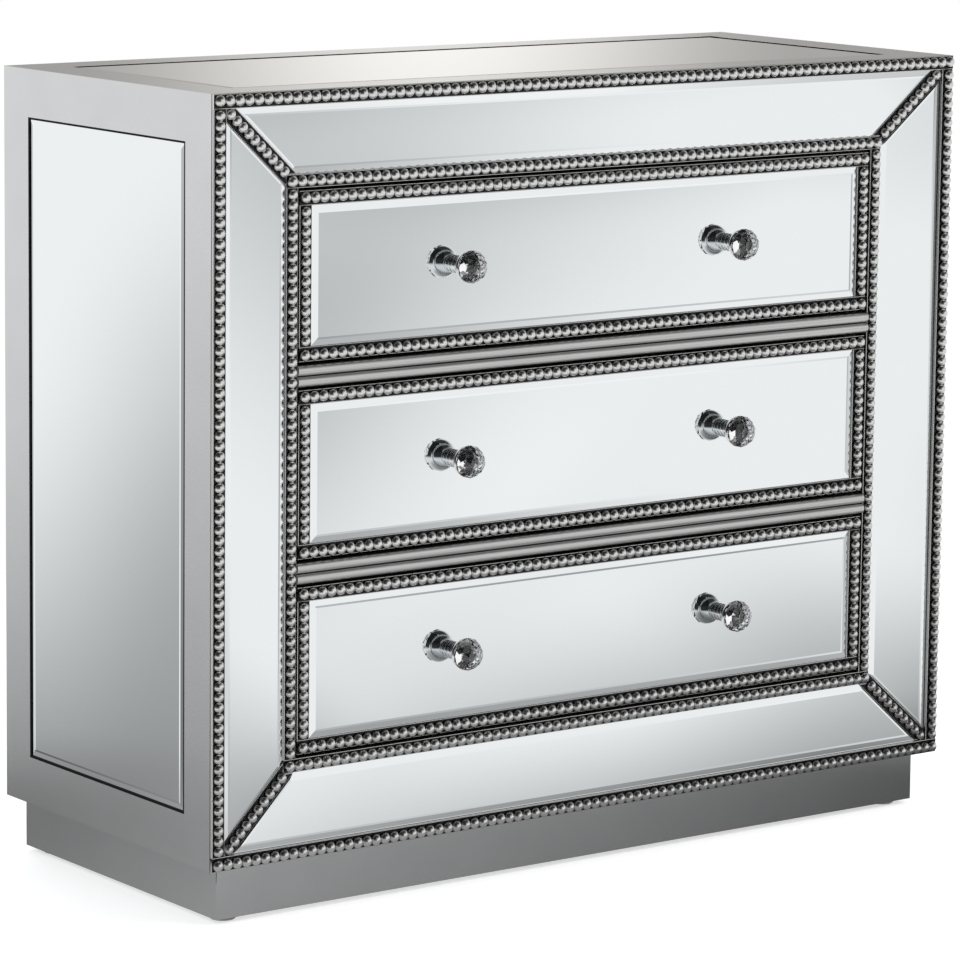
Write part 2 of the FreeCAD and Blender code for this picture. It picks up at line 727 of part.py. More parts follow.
# ------------------------------------------------------------------ building the drawers
outward = Vector(1, 0, 0)
inward = Vector(-1, 0, 0)
backward = Vector(0, 1, 0)
channels = []
channel_screws = []
for number, name in enumerate(drawer_names):
    node = name + "_drawer_"
    high = opening_top - reveal_height - number * drawer_pitch
    low = high - drawer_height
    middle = (low + high) / 2
    box_low = low + box_lift
    box_high = high - box_headroom
    slide_z = box_low + slide_lift

    knob_places = [(-knob_spacing / 2, middle), (knob_spacing / 2, middle)]
    knob_screws = []
    for x, z in knob_places:
        length = drawer_front_thickness + glass_thickness + knob_screw_grip
        knob_screws.append(screw(Vector(x, drawer_front_back, z), forward, knob_screw_diameter,
                                 length, knob_screw_head_diameter, knob_screw_head))
    front_board = box(-drawer_half_width, drawer_half_width, drawer_seat, drawer_front_back,
                      low, high)

    glass_half = drawer_half_width - drawer_moulding_width - glass_clearance
    glass_low = low + drawer_moulding_width + glass_clearance
    glass_high = high - drawer_moulding_width - glass_clearance
    glass = bevelled_glass([
        Vector(-glass_half, drawer_face_depth, glass_low),
        Vector(glass_half, drawer_face_depth, glass_low),
        Vector(glass_half, drawer_face_depth, glass_high),
        Vector(-glass_half, drawer_face_depth, glass_high),
    ], backward)

    floor = box(-floor_half_width, floor_half_width, drawer_front_back, box_rear,
                box_low + floor_lift, box_low + floor_lift + floor_thickness)
    back_half = box_half_width - box_side_thickness
    bar_screws = slide_screws(slide_z, slide_space, inward, 2)
    wall = box(back_half, box_half_width, drawer_front_back, box_rear, box_low, box_high)
    right_wall = cut_all(wall, [floor] + bar_screws)

    parts[node + "front"] = [cut_all(front_board, knob_screws)]
    parts[node + "mirror"] = [cut_all(glass, knob_screws)]
    parts[node + "bead_mouldings"] = moulding_frame(
        drawer_half_width, low, high, drawer_seat, drawer_moulding_width, outer_bead_line)
    parts[node + "sides"] = both_sides(right_wall)
    parts[node + "back"] = [box(-back_half, back_half, box_rear - box_side_thickness, box_rear,
                                box_low + floor_lift + floor_thickness, box_high)]
    parts[node + "floor"] = [floor]
    parts[node + "knob_posts"] = [on_mirror(knob_post(), x, z) for x, z in knob_places]
    parts[node + "knob_posts"].extend(knob_screws)
    parts[node + "knob_crystals"] = [on_mirror(crystal(), x, z) for x, z in knob_places]

    bar = cut_all(slide_bar(slide_z), bar_screws)
    parts[node + "slide_bars"] = both_sides(bar)
    for bar_screw in bar_screws:
        parts[node + "slide_bars"].extend(both_sides(bar_screw))

    balls = [Part.makeSphere(ball_diameter / 2, place) for place in ball_places(slide_z)]
    cage_parts = both_sides(ball_cage(slide_z))
    for ball in balls:
        cage_parts.extend(both_sides(ball))
    parts[name + "_ball_cages"] = cage_parts

    screws = slide_screws(slide_z, 0, outward, 3)
    channels.extend(both_sides(cut_all(slide_channel(slide_z), screws)))
    channel_screws.extend(screws)

# Runner panels stand behind the stiles and carry the slides.
runner = box(opening_half_width, opening_half_width + runner_panel_thickness, panel_front,
             back_panel_face, inside_bottom, inside_top)
parts["runner_panels"] = both_sides(cut_all(runner, channel_screws))
parts["slide_channels"] = channels
case_screws = list(back_screws)
for channel_screw in channel_screws:
    case_screws.extend(both_sides(channel_screw))
parts["case_screws"] = case_screws

# ------------------------------------------------------------------------ writing the files
os.makedirs("parts", exist_ok=True)
for node, solids in parts.items():
    whole = Part.makeCompound([solid.translated(to_origin) for solid in solids])
    whole.exportStep("parts/" + node + ".step")
print(len(parts), "nodes, drawer height", round(drawer_height, 2))
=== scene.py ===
# %% [markdown]
# # A mirrored chest of drawers
#
# The chest is a fibreboard case under silver lacquer.  Bevelled mirrors are let into its
# sides and top, and its front is a dished picture frame of mirror, edged all round with
# bead moulding.  Three mirrored drawers slide out of it, each with two cut crystal knobs.
#
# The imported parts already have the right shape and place.  This script loads them, gives
# each its real finish, and makes finer pieces where the plain solid would look coarse: the
# beads, the knobs, the reeds, the screws and the eased edges of the boards.

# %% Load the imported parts
import json
import math

import bmesh
import bpy
from mathutils import Matrix, Vector


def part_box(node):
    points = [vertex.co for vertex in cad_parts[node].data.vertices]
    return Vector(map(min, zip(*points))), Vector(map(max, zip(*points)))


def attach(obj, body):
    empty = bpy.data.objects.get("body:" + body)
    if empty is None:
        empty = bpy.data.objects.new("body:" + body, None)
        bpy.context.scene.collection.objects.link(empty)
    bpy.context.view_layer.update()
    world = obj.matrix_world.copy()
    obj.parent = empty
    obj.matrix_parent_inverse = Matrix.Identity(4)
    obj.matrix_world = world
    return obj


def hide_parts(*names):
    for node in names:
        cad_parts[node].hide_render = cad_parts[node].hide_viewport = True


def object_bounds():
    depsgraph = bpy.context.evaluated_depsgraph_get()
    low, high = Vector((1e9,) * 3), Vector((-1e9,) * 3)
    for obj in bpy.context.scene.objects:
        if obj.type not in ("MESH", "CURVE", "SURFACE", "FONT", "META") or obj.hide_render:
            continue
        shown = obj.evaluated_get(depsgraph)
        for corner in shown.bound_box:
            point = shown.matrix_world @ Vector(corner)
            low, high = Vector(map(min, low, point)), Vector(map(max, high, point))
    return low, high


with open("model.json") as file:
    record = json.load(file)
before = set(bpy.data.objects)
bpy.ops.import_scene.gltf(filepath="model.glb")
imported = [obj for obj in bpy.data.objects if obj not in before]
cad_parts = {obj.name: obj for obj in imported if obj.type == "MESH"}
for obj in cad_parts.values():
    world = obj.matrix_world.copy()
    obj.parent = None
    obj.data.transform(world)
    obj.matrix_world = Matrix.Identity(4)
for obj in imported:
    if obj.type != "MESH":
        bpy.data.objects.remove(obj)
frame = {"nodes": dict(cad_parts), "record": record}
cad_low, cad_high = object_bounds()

print("size in mm:", [round(1000 * side) for side in cad_high - cad_low])

# %% [markdown]
# ## Sizes and colours
#
# Lengths are metres in Blender, but a maker thinks in millimetres, so `mm` turns one into
# the other.  Colours are picked as sRGB hex codes, as on a paint chart, while shaders
# calculate in linear light, so `colour` converts them once, here.

# %% Helpers for sizes and colours
SRGB_TOE = 0.04045            # below this the sRGB curve is a straight line
DRAWERS = ("upper", "middle", "lower")
FORWARD, UP, RIGHT = Vector((0, -1, 0)), Vector((0, 0, 1)), Vector((1, 0, 0))


def mm(length):
    """Millimetres as metres."""
    return length / 1000


def colour(hex_code):
    """An sRGB hex colour such as "C0C0C0" as linear red, green, blue and alpha."""
    linear = []
    for start in (0, 2, 4):
        value = int(hex_code[start:start + 2], 16) / 255
        if value <= SRGB_TOE:
            linear.append(value / 12.92)
        else:
            linear.append(((value + 0.055) / 1.055) ** 2.4)
    return (*linear, 1.0)


def grey(level):
    """A grey of this brightness in linear light."""
    return (level, level, level, 1.0)


print("mid grey 808080 in linear light:", round(colour("808080")[0], 3))

# %% [markdown]
# ## Trees of nodes
#
# Materials, the world and Geometry Nodes are all trees of nodes.  They could be drawn by
# hand, but in a script every number has its place in the text.  One function adds a node
# and feeds it from the nodes before it.

# %% Helpers for trees of nodes
def feed(node, inputs):
    """Feeds a node's inputs: each with a value, a socket, or a node's first output in use."""
    for name, value in inputs.items():
        if isinstance(value, bpy.types.Node):
            value = next(output for output in value.outputs if output.enabled)
        if isinstance(value, bpy.types.NodeSocket):
            node.id_data.links.new(value, node.inputs[name])
        else:
            node.inputs[name].default_value = value


def add_node(tree, kind, inputs=None, **settings):
    """Adds a node: settings are its options, inputs are what feeds it."""
    made = tree.nodes.new(kind)
    for name, value in settings.items():
        setattr(made, name, value)
    feed(made, inputs or {})
    return made


def set_stops(ramp, stops):
    """Places a colour ramp's stops, given as (position, colour) pairs."""
    elements = ramp.color_ramp.elements
    while len(elements) < len(stops):
        elements.new(0.5)
    for element, (position, shade) in zip(elements, stops):
        element.position = position
        element.color = shade


def new_group(name, kind, inputs, output):
    """A tree with named inputs and one output; returned with the sockets inside it."""
    tree = bpy.data.node_groups.new(name, kind)
    for way, sockets in (("INPUT", inputs), ("OUTPUT", (output,))):
        for label, value in sockets:
            tree.interface.new_socket(label, in_out=way, socket_type="NodeSocket" + value)
    print(name, "takes", [label for label, value in inputs])
    return tree, add_node(tree, "NodeGroupInput").outputs


def new_material(name):
    """A material with one Principled surface: itself, its tree and its surface node."""
    material = bpy.data.materials.new(name)
    material.use_nodes = True
    tree = material.node_tree
    print("material:", name)
    return material, tree, tree.nodes["Principled BSDF"]


# %% [markdown]
# ## The camera
#
# A long lens from five metres away keeps the edges of the case nearly parallel.  The camera
# stands to the left of the chest and a little above it, so the left side, the front and a
# sliver of the top show.  A small shift brings the chest to the middle of the picture.

# %% Camera
LENS, SENSOR = 172.4, 36.0                # in mm, as on a real camera
SHIFT_RIGHT, SHIFT_UP = 0.10, -0.12       # as shares of the picture's width
CAMERA_PLACE = Vector((-2.9327, -3.9065, 1.2288))
CAMERA_TURN = math.radians(35.51)         # from straight ahead towards the chest's right
CAMERA_DIP = math.radians(8.365)          # below the level
CAMERA_LEAN = math.radians(0.464)


def new_object(name, data):
    """An object in the scene that holds this data."""
    made = bpy.data.objects.new(name, data)
    bpy.context.scene.collection.objects.link(made)
    return made


camera = new_object("camera", bpy.data.cameras.new("camera"))
camera.data.lens = LENS
camera.data.sensor_width = SENSOR
camera.data.shift_x = SHIFT_RIGHT
camera.data.shift_y = SHIFT_UP
camera.matrix_world = (Matrix.Translation(CAMERA_PLACE)
                       @ Matrix.Rotation(-CAMERA_TURN, 4, "Z")
                       @ Matrix.Rotation(math.pi / 2 - CAMERA_DIP, 4, "X")
                       @ Matrix.Rotation(CAMERA_LEAN, 4, "Z"))
bpy.context.scene.camera = camera
bpy.context.scene.view_settings.view_transform = "Standard"
print("camera is", round(CAMERA_PLACE.length, 2), "m from the chest")

# %% [markdown]
# ## The studio that the mirrors see
#
# A mirror has no colour of its own: it shows the room.  The room here is a studio with a
# pale floor and pale panels round it, and its ceiling is dark in front of the chest and
# pale behind it.  Real panels would need a lot of trial and error, so the room is drawn in
# the world instead, on a map of directions: heading in degrees, 0 straight in front of the
# chest and 90 to its right, against height in degrees above the level.

# %% The map of the room
world = bpy.data.worlds.new("studio")
bpy.context.scene.world = world
world.use_nodes = True
room = world.node_tree
room.nodes.clear()
view = add_node(room, "ShaderNodeTexCoord").outputs["Generated"]
part_of_view = add_node(room, "ShaderNodeSeparateXYZ", {0: view}).outputs
ahead = add_node(room, "ShaderNodeMath", {0: part_of_view["Y"], 1: -1.0}, operation="MULTIPLY")
heading = add_node(room, "ShaderNodeMath", {0: part_of_view["X"], 1: ahead}, operation="ARCTAN2")
heading = add_node(room, "ShaderNodeMath", {0: heading}, operation="DEGREES")
height = add_node(room, "ShaderNodeMath", {0: part_of_view["Z"]}, operation="ARCSINE")
height = add_node(room, "ShaderNodeMath", {0: height}, operation="DEGREES")
map_place = add_node(room, "ShaderNodeCombineXYZ", {"X": heading, "Y": height})
round_share = add_node(room, "ShaderNodeMapRange", {
    "Value": heading, "From Min": -180.0, "From Max": 180.0})
print("nodes for the map:", len(room.nodes))

# %% [markdown]
# The walls are one band of brightness round the room.  A colour ramp on the heading draws
# it, eased so that no panel has a hard edge.  Soft cards, which a studio hangs in front of
# its panels, lift or lower the tone inside an ellipse.  Each is the same small group of
# nodes, so one tree serves them all.

# %% Walls and cards
WALLS = ((-180, 0.42), (-170, 0.42), (-158, 0.978), (-132, 0.978), (-112, 0.04), (-15, 0.03),
         (10, 0.956), (72, 0.956), (100, 0.80), (118, 0.41), (180, 0.41))     # heading, tone
CARDS = (
    # heading, height, half width, half height, turn, lift
    (37.1, -4.7, 11.2, 3.4, 68, 0.30),
    (56.7, -19.6, 22.2, 2.5, -27, -0.94),
    (52.6, -8.7, 22.1, 5.8, -35, -0.52),
    (38.1, -4.3, 11.1, 2.5, 6, -0.52),
    (39.5, -13.2, 6.8, 2.5, 18, -0.47),
    (38.4, -26.8, 23.7, 5.9, -75, -0.52),
    (32.3, -13.6, 5.3, 2.6, -25, -0.76),
    (35.7, -6.9, 3.5, 7.9, -43, -0.55),
    (-148.3, -17.0, 11.0, 8.3, -27, -1.00),
    (-146.4, -10.0, 4.9, 3.0, 84, -0.40),
    (143.9, -5.0, 5.3, 20.6, 0, 1.00),
    (-84.0, -8.0, 9.0, 34.0, 0, 0.80),
    (-130.0, -16.0, 9.0, 22.0, 0, -0.80),
    (29.3, 4.5, 4.2, 4.0, 0, -0.50),
)
DARKEST_WALL = 0.03


def heading_ramp(stops):
    """A tone that changes softly with the heading, from (heading, tone) pairs."""
    ramp = add_node(room, "ShaderNodeValToRGB", {0: round_share})
    ramp.color_ramp.interpolation = "EASE"
    set_stops(ramp, [((at + 180) / 360, grey(tone)) for at, tone in stops])
    return ramp


soft_card, given = new_group("soft_card", "ShaderNodeTree", (
    ("Tone", "Float"), ("Place", "Vector"), ("Middle", "Vector"), ("Turn", "Vector"),
    ("Half size", "Vector"), ("Lift", "Float")), ("Tone", "Float"))
inside = add_node(soft_card, "ShaderNodeMapping", {
    "Vector": given["Place"], "Location": given["Middle"], "Rotation": given["Turn"],
    "Scale": given["Half size"]}, vector_type="TEXTURE")
disc = add_node(soft_card, "ShaderNodeTexGradient", {"Vector": inside}, gradient_type="SPHERICAL")
soft = add_node(soft_card, "ShaderNodeMapRange", {"Value": disc.outputs["Fac"]},
                interpolation_type="SMOOTHSTEP")
toned = add_node(soft_card, "ShaderNodeMath", {0: soft, 1: given["Lift"], 2: given["Tone"]},
                 operation="MULTIPLY_ADD")
add_node(soft_card, "NodeGroupOutput", {0: toned})


def lifted(tone, at_heading, at_height, half_width, half_height, turn, lift):
    """The tone with one soft card added."""
    return add_node(room, "ShaderNodeGroup", {
        "Tone": tone, "Place": map_place, "Middle": (at_heading, at_height, 0.0),
        "Turn": (0.0, 0.0, math.radians(turn)), "Half size": (half_width, half_height, 1.0),
        "Lift": lift}, node_tree=soft_card)


walls = heading_ramp(WALLS)
for card in CARDS:
    walls = lifted(walls, *card)
walls = add_node(room, "ShaderNodeClamp", {"Value": walls, "Min": DARKEST_WALL, "Max": 1.0})
print("cards:", len(CARDS))

# %% [markdown]
# The ceiling takes over above the walls, and the room's own floor below them.  Where panels
# stand on the floor they hide its far part, so there the floor starts lower down the map.

# %% Ceiling and floor of the room
CEILING_BACK = 0.35           # how far back the view points where the ceiling is at its palest
CEILING_DARK = 0.04
CEILING_FROM, CEILING_TO = 10.0, 46.0     # heights over which the wall turns into ceiling
WALLED = ((-180, 0.0), (-172, 0.0), (-164, 1.0), (-126, 1.0), (-114, 0.0), (-4, 0.0), (6, 1.0),
          (78, 1.0), (90, 0.0), (180, 0.0))      # heading, 1 with panels or 0 without
OPEN_FLOOR, HIDDEN_FLOOR = (-3.0, -20.0), (-24.0, -52.0)   # heights where the floor fades in
FLOOR_TONE = 0.90
DARK_RUG = (-145.0, -48.0, 55.0, 36.0, 0, -1.00)
DARKEST = 0.015

ceiling_tone = add_node(room, "ShaderNodeMapRange", {
    "Value": part_of_view["Y"], "From Min": 0.0, "From Max": CEILING_BACK,
    "To Min": CEILING_DARK, "To Max": 1.0})
under_ceiling = add_node(room, "ShaderNodeMapRange", {
    "Value": height, "From Min": CEILING_FROM, "From Max": CEILING_TO, "To Min": 1.0,
    "To Max": ceiling_tone}, interpolation_type="SMOOTHSTEP")
above = add_node(room, "ShaderNodeMath", {0: walls, 1: under_ceiling}, operation="MULTIPLY")
walled = heading_ramp(WALLED)
fade = [add_node(room, "ShaderNodeMapRange", {"Value": walled, "To Min": open_at, "To Max": hidden_at})
        for open_at, hidden_at in zip(OPEN_FLOOR, HIDDEN_FLOOR)]
below = add_node(room, "ShaderNodeMapRange", {
    "Value": height, "From Min": fade[0], "From Max": fade[1]}, interpolation_type="SMOOTHSTEP")
tone = add_node(room, "ShaderNodeMix", {"Factor": below, "A": above, "B": FLOOR_TONE})
tone = lifted(tone, *DARK_RUG)
tone = add_node(room, "ShaderNodeClamp", {"Value": tone, "Min": DARKEST, "Max": 1.0})
print("the floor fades in from", OPEN_FLOOR, "or, behind panels, from", HIDDEN_FLOOR)

# %% [markdown]
# The room is not seen by all rays.  Light that has passed through the cut crystals would
# need very many reflections to sparkle, so it meets flat patches of light and dark instead.
# Matt surfaces get an even light, and the camera sees plain white, through the outputs of
# the Light Path node.

# %% What each kind of ray sees
WARM_FROM, WARM_TO = 100.0, 125.0         # headings over which the light turns a little warm
WHITE, WARM_WHITE, EVEN_LIGHT = grey(1.0), colour("FFFCF8"), colour("C4C6C8")
PATCHES = 2.9                 # patches for each unit of direction
PATCH_SHUFFLE = (3.0, 0.0, 0.0)
SPARKLE = ((0.0, 0.01), (0.40, 0.07), (0.56, 0.28), (0.67, 0.66), (0.76, 1.0))   # share, tone

warmth = add_node(room, "ShaderNodeMapRange", {
    "Value": heading, "From Min": WARM_FROM, "From Max": WARM_TO}, interpolation_type="SMOOTHSTEP")
light_colour = add_node(room, "ShaderNodeMix", {"Factor": warmth, "A": WHITE, "B": WARM_WHITE},
                        data_type="RGBA")
seen = add_node(room, "ShaderNodeVectorMath", {0: light_colour, "Scale": tone}, operation="SCALE")
patch_place = add_node(room, "ShaderNodeMapping", {"Vector": view, "Location": PATCH_SHUFFLE})
patches = add_node(room, "ShaderNodeTexVoronoi", {
    "Vector": patch_place, "Scale": PATCHES, "Randomness": 0.9})
patch_share = add_node(room, "ShaderNodeSeparateColor", {"Color": patches.outputs["Color"]})
sparkle = add_node(room, "ShaderNodeValToRGB", {0: patch_share})
sparkle.color_ramp.interpolation = "CONSTANT"
set_stops(sparkle, [(share, grey(level)) for share, level in SPARKLE])
rays = add_node(room, "ShaderNodeLightPath").outputs
for ray, shade in (("Is Transmission Ray", sparkle), ("Is Diffuse Ray", EVEN_LIGHT),
                   ("Is Camera Ray", WHITE)):
    seen = add_node(room, "ShaderNodeMix", {"Factor": rays[ray], "A": seen, "B": shade},
                    data_type="RGBA")
background = add_node(room, "ShaderNodeBackground", {"Color": seen, "Strength": 1.0})
add_node(room, "ShaderNodeOutputWorld", {"Surface": background})
print("world nodes:", len(room.nodes))

# %% [markdown]
# ## The paper floor
#
# The floor is white paper to stand the chest on, and it catches the contact shadow.  Further
# out it turns to plain white.  Mirrors and metal look through it at the room's own floor,
# apart from a dark band round the chest, where the chest's own shade would lie.

# %% Floor
FLOOR_REACH = 40.0            # metres from the middle to each side
PAPER_FROM, PAPER_TO = 0.7, 1.8           # metres from the middle over which it turns white
PAPER_GLOW = 0.55
BAND_FROM, BAND_TO = 0.05, 0.60           # metres from the case over which the band fades
NEAR_SLANT, NEAR_TONE = (-0.33, -0.40, 0.0), 0.165
FAR_SLANT, FAR_TONE, FAR_MOST = (0.9, 0.9, 0.0), -0.35, 0.5
BAND_DARKEST = 0.03

floor_mesh = bpy.data.meshes.new("floor")
floor_mesh.from_pydata([(x * FLOOR_REACH, y * FLOOR_REACH, 0) for x, y in
                        ((-1, -1), (1, -1), (1, 1), (-1, 1))], [], [(0, 1, 2, 3)])
new_object("floor", floor_mesh)
floor_paper, tree, surface = new_material("white_paper_floor")
floor_mesh.materials.append(floor_paper)
tree.nodes.remove(surface)
place = add_node(tree, "ShaderNodeTexCoord").outputs["Object"]
distance = add_node(tree, "ShaderNodeVectorMath", {0: place}, operation="LENGTH")
away = add_node(tree, "ShaderNodeMapRange", {
    "Value": distance, "From Min": PAPER_FROM, "From Max": PAPER_TO}, interpolation_type="SMOOTHSTEP")
matt = add_node(tree, "ShaderNodeBsdfDiffuse", {"Color": colour("E6E6E6")})
glow = add_node(tree, "ShaderNodeEmission", {"Strength": PAPER_GLOW})
lit_paper = add_node(tree, "ShaderNodeAddShader", {0: matt, 1: glow})
white = add_node(tree, "ShaderNodeEmission", {"Strength": 1.0})
paper = add_node(tree, "ShaderNodeMixShader", {0: away, 1: lit_paper, 2: white})

# How far a place on the floor is from the case, worked out in one quarter for all four.
folded = add_node(tree, "ShaderNodeVectorMath", {0: place}, operation="ABSOLUTE")
past = add_node(tree, "ShaderNodeVectorMath", {0: folded, 1: (cad_high.x, cad_high.y, 0.0)},
                operation="SUBTRACT")
past = add_node(tree, "ShaderNodeVectorMath", {0: past, 1: (0.0, 0.0, 0.0)}, operation="MAXIMUM")
gap = add_node(tree, "ShaderNodeVectorMath", {0: past}, operation="LENGTH")
fade = add_node(tree, "ShaderNodeMapRange", {
    "Value": gap, "From Min": BAND_FROM, "From Max": BAND_TO}, interpolation_type="SMOOTHSTEP")
# Its brightness there, which slants up towards two corners.
near = add_node(tree, "ShaderNodeVectorMath", {0: place, 1: NEAR_SLANT}, operation="DOT_PRODUCT")
near = add_node(tree, "ShaderNodeMath", {0: near, 1: NEAR_TONE}, operation="ADD")
far = add_node(tree, "ShaderNodeVectorMath", {0: place, 1: FAR_SLANT}, operation="DOT_PRODUCT")
far = add_node(tree, "ShaderNodeMath", {0: far, 1: FAR_TONE}, operation="ADD")
far = add_node(tree, "ShaderNodeMath", {0: far, 1: FAR_MOST}, operation="MINIMUM")
dim = add_node(tree, "ShaderNodeMath", {0: near, 1: far}, operation="MAXIMUM")
dim = add_node(tree, "ShaderNodeMath", {0: dim, 1: BAND_DARKEST}, operation="MAXIMUM")
shade = add_node(tree, "ShaderNodeEmission", {"Strength": dim})
clear = add_node(tree, "ShaderNodeBsdfTransparent")
in_mirrors = add_node(tree, "ShaderNodeMixShader", {0: fade, 1: shade, 2: clear})
rays = add_node(tree, "ShaderNodeLightPath").outputs
reflected = add_node(tree, "ShaderNodeMath", {
    0: rays["Is Glossy Ray"], 1: rays["Is Transmission Ray"]}, operation="MAXIMUM")
floor_mix = add_node(tree, "ShaderNodeMixShader", {0: reflected, 1: paper, 2: in_mirrors})
feed(tree.nodes["Material Output"], {"Surface": floor_mix})
print("floor:", 2 * FLOOR_REACH, "m square")

# %% [markdown]
# ## Lamps
#
# Matt surfaces, such as the paper, need lamps as well as the world's even light.  Three big
# softboxes give them soft shadows.  Mirrors would show the lamps as hard white squares, so
# no mirror or crystal sees them.

# %% Lamps
CHEST_MIDDLE = Vector((0.0, 0.0, 0.42))
SOFTBOXES = (
    # name, place, width, height, watts
    ("key_softbox", (2.2, -2.6, 2.6), 1.8, 1.8, 55),
    ("fill_softbox", (-3.2, -1.0, 2.4), 1.5, 2.0, 25),
    ("back_softbox", (0.5, 3.2, 2.6), 2.0, 1.5, 35),
)
for name, stand, wide, tall, watts in SOFTBOXES:
    lamp = new_object(name, bpy.data.lights.new(name, "AREA"))
    lamp.data.shape = "RECTANGLE"
    lamp.data.size, lamp.data.size_y = wide, tall
    lamp.data.energy = watts
    lamp.location = stand
    lamp.rotation_euler = (CHEST_MIDDLE - Vector(stand)).to_track_quat("-Z", "Y").to_euler()
    lamp.visible_camera = lamp.visible_glossy = lamp.visible_transmission = False
    print(name, watts, "W")

# %% [markdown]
# ## Finishes
#
# Patterns are worked out from Object coordinates, in metres, so they stay with the piece
# when it moves and have their real size.
#
# The case is lacquered with fine aluminium powder in clear coats, which looks like a
# slightly blurred mirror.  Sprayed coats have faint clouds, and a skin like orange peel
# whose bumps are about 2.5 mm apart.

# %% Silver lacquer
def pattern_place(tree):
    """Coordinates in metres that stay with the piece."""
    return add_node(tree, "ShaderNodeTexCoord").outputs["Object"]


silver_lacquer, tree, surface = new_material("silver_lacquer")
place = pattern_place(tree)
cloud = add_node(tree, "ShaderNodeTexNoise", {"Vector": place, "Scale": 1 / mm(60), "Detail": 2.0})
tint = add_node(tree, "ShaderNodeMix", {"Factor": cloud, "A": colour("CCCDCE"), "B": colour("D4D5D6")},
                data_type="RGBA")
peel = add_node(tree, "ShaderNodeTexNoise", {"Vector": place, "Scale": 1 / mm(2.5), "Detail": 1.0})
bump = add_node(tree, "ShaderNodeBump", {"Height": peel, "Distance": mm(0.02), "Strength": 0.5})
feed(surface, {"Base Color": tint, "Normal": bump, "Metallic": 0.95, "Roughness": 0.14})

# %% [markdown]
# Mirror is float glass, silvered on its back.  Its reflection is sharp and very slightly
# green-blue from the glass, and it wavers a little, because no thin pane is quite flat.

# %% Mirror glass
mirror_glass, tree, surface = new_material("mirror_glass")
wave = add_node(tree, "ShaderNodeTexNoise", {
    "Vector": pattern_place(tree), "Scale": 1 / mm(150), "Detail": 0.0})
bump = add_node(tree, "ShaderNodeBump", {"Height": wave, "Distance": mm(0.02), "Strength": 0.3})
feed(surface, {"Base Color": colour("EEF2F3"), "Normal": bump, "Metallic": 1.0, "Roughness": 0.0})

# %% [markdown]
# The mouldings are wood under silver leaf, rubbed with dark wax that stays in the hollows.
# A shader can't tell a hollow by itself, so each bead and strip carries an attribute named
# recess, 0 at the top and 1 in the notches, and a ramp turns it from silver to near black.
# The dark is partly that wax and partly painted shade, where the beads press into each
# other and into the strip.  Rubbed leaf keeps a fine grain, about a millimetre across.

# %% Antique silver leaf
antique_silver, tree, surface = new_material("antique_silver_leaf")
recess = add_node(tree, "ShaderNodeAttribute", attribute_name="recess").outputs["Fac"]
# Silver at the tops; dark wax and painted shade in the notches and on the flats.
wax_and_shade = add_node(tree, "ShaderNodeValToRGB", {0: recess})
set_stops(wax_and_shade, [(0.50, colour("E0E0DF")), (0.84, colour("4C4B4A")), (1.0, colour("100F0F"))])
grain = add_node(tree, "ShaderNodeTexNoise", {
    "Vector": pattern_place(tree), "Scale": 1 / mm(1.2), "Detail": 2.0})
bump = add_node(tree, "ShaderNodeBump", {"Height": grain, "Distance": mm(0.05), "Strength": 0.6})
feed(surface, {"Base Color": wax_and_shade, "Normal": bump, "Metallic": 1.0, "Roughness": 0.27})

# %% [markdown]
# The reeds between the drawers are silver paint too, but brushed on along the moulding, so
# fine lines run along them.  Real brush lines are about a tenth of a millimetre apart; they
# are drawn 0.7 mm apart here, or they would not show.

# %% Brushed silver paint
brushed_silver, tree, surface = new_material("brushed_silver_paint")
drawn_out = add_node(tree, "ShaderNodeMapping", {
    "Vector": pattern_place(tree), "Scale": (1 / mm(90), 1 / mm(0.7), 1 / mm(0.7))})
strokes = add_node(tree, "ShaderNodeTexNoise", {"Vector": drawn_out, "Scale": 1.0, "Detail": 2.0})
tint = add_node(tree, "ShaderNodeMix", {
    "Factor": strokes, "A": colour("B6B6B5"), "B": colour("D4D4D3")}, data_type="RGBA")
# The grooves and edges of the reeds are painted dark: antique wax and painted shade.
recess = add_node(tree, "ShaderNodeAttribute", attribute_name="recess").outputs["Fac"]
in_groove = add_node(tree, "ShaderNodeMapRange", {
    "Value": recess, "From Min": 0.72, "From Max": 1.0}, interpolation_type="SMOOTHSTEP")
wax_and_groove_shade = add_node(tree, "ShaderNodeMix", {"Factor": in_groove, "A": tint, "B": colour("2C2B2A")},
                 data_type="RGBA")
bump = add_node(tree, "ShaderNodeBump", {"Height": strokes, "Distance": mm(0.03), "Strength": 0.5})
feed(surface, {"Base Color": wax_and_groove_shade, "Normal": bump, "Metallic": 0.9, "Roughness": 0.28})

# %% [markdown]
# ## Metals
#
# Chrome plate is a hard, bluish mirror with hardly any texture.  Zinc plate on the slides
# and screws is duller, and its crystals leave faint clouds a few millimetres across.

# %% Chrome and zinc
chrome, tree, surface = new_material("polished_chrome_plate")
haze = add_node(tree, "ShaderNodeTexNoise", {
    "Vector": pattern_place(tree), "Scale": 1 / mm(6), "Detail": 2.0})
polish = add_node(tree, "ShaderNodeMapRange", {"Value": haze, "To Min": 0.02, "To Max": 0.07})
feed(surface, {"Base Color": colour("E9EBED"), "Roughness": polish, "Metallic": 1.0})

zinc, tree, surface = new_material("zinc_plated_steel")
crystals = add_node(tree, "ShaderNodeTexNoise", {
    "Vector": pattern_place(tree), "Scale": 1 / mm(4), "Detail": 3.0})
tint = add_node(tree, "ShaderNodeMix", {
    "Factor": crystals, "A": colour("AEB2B6"), "B": colour("D2D5D8")}, data_type="RGBA")
rolled = add_node(tree, "ShaderNodeMapRange", {"Value": crystals, "To Min": 0.26, "To Max": 0.42})
feed(surface, {"Base Color": tint, "Roughness": rolled, "Metallic": 1.0})

# %% [markdown]
# ## Plastic, sealant and crystal
#
# The glides are polyethylene, moulded with a fine sandy texture so that scratches hide.
# The black joint round the inlaid mirrors is silicone, smoothed with a finger.  The knobs
# are lead-free crystal with an IOR of 1.54: clear, with no texture at all.

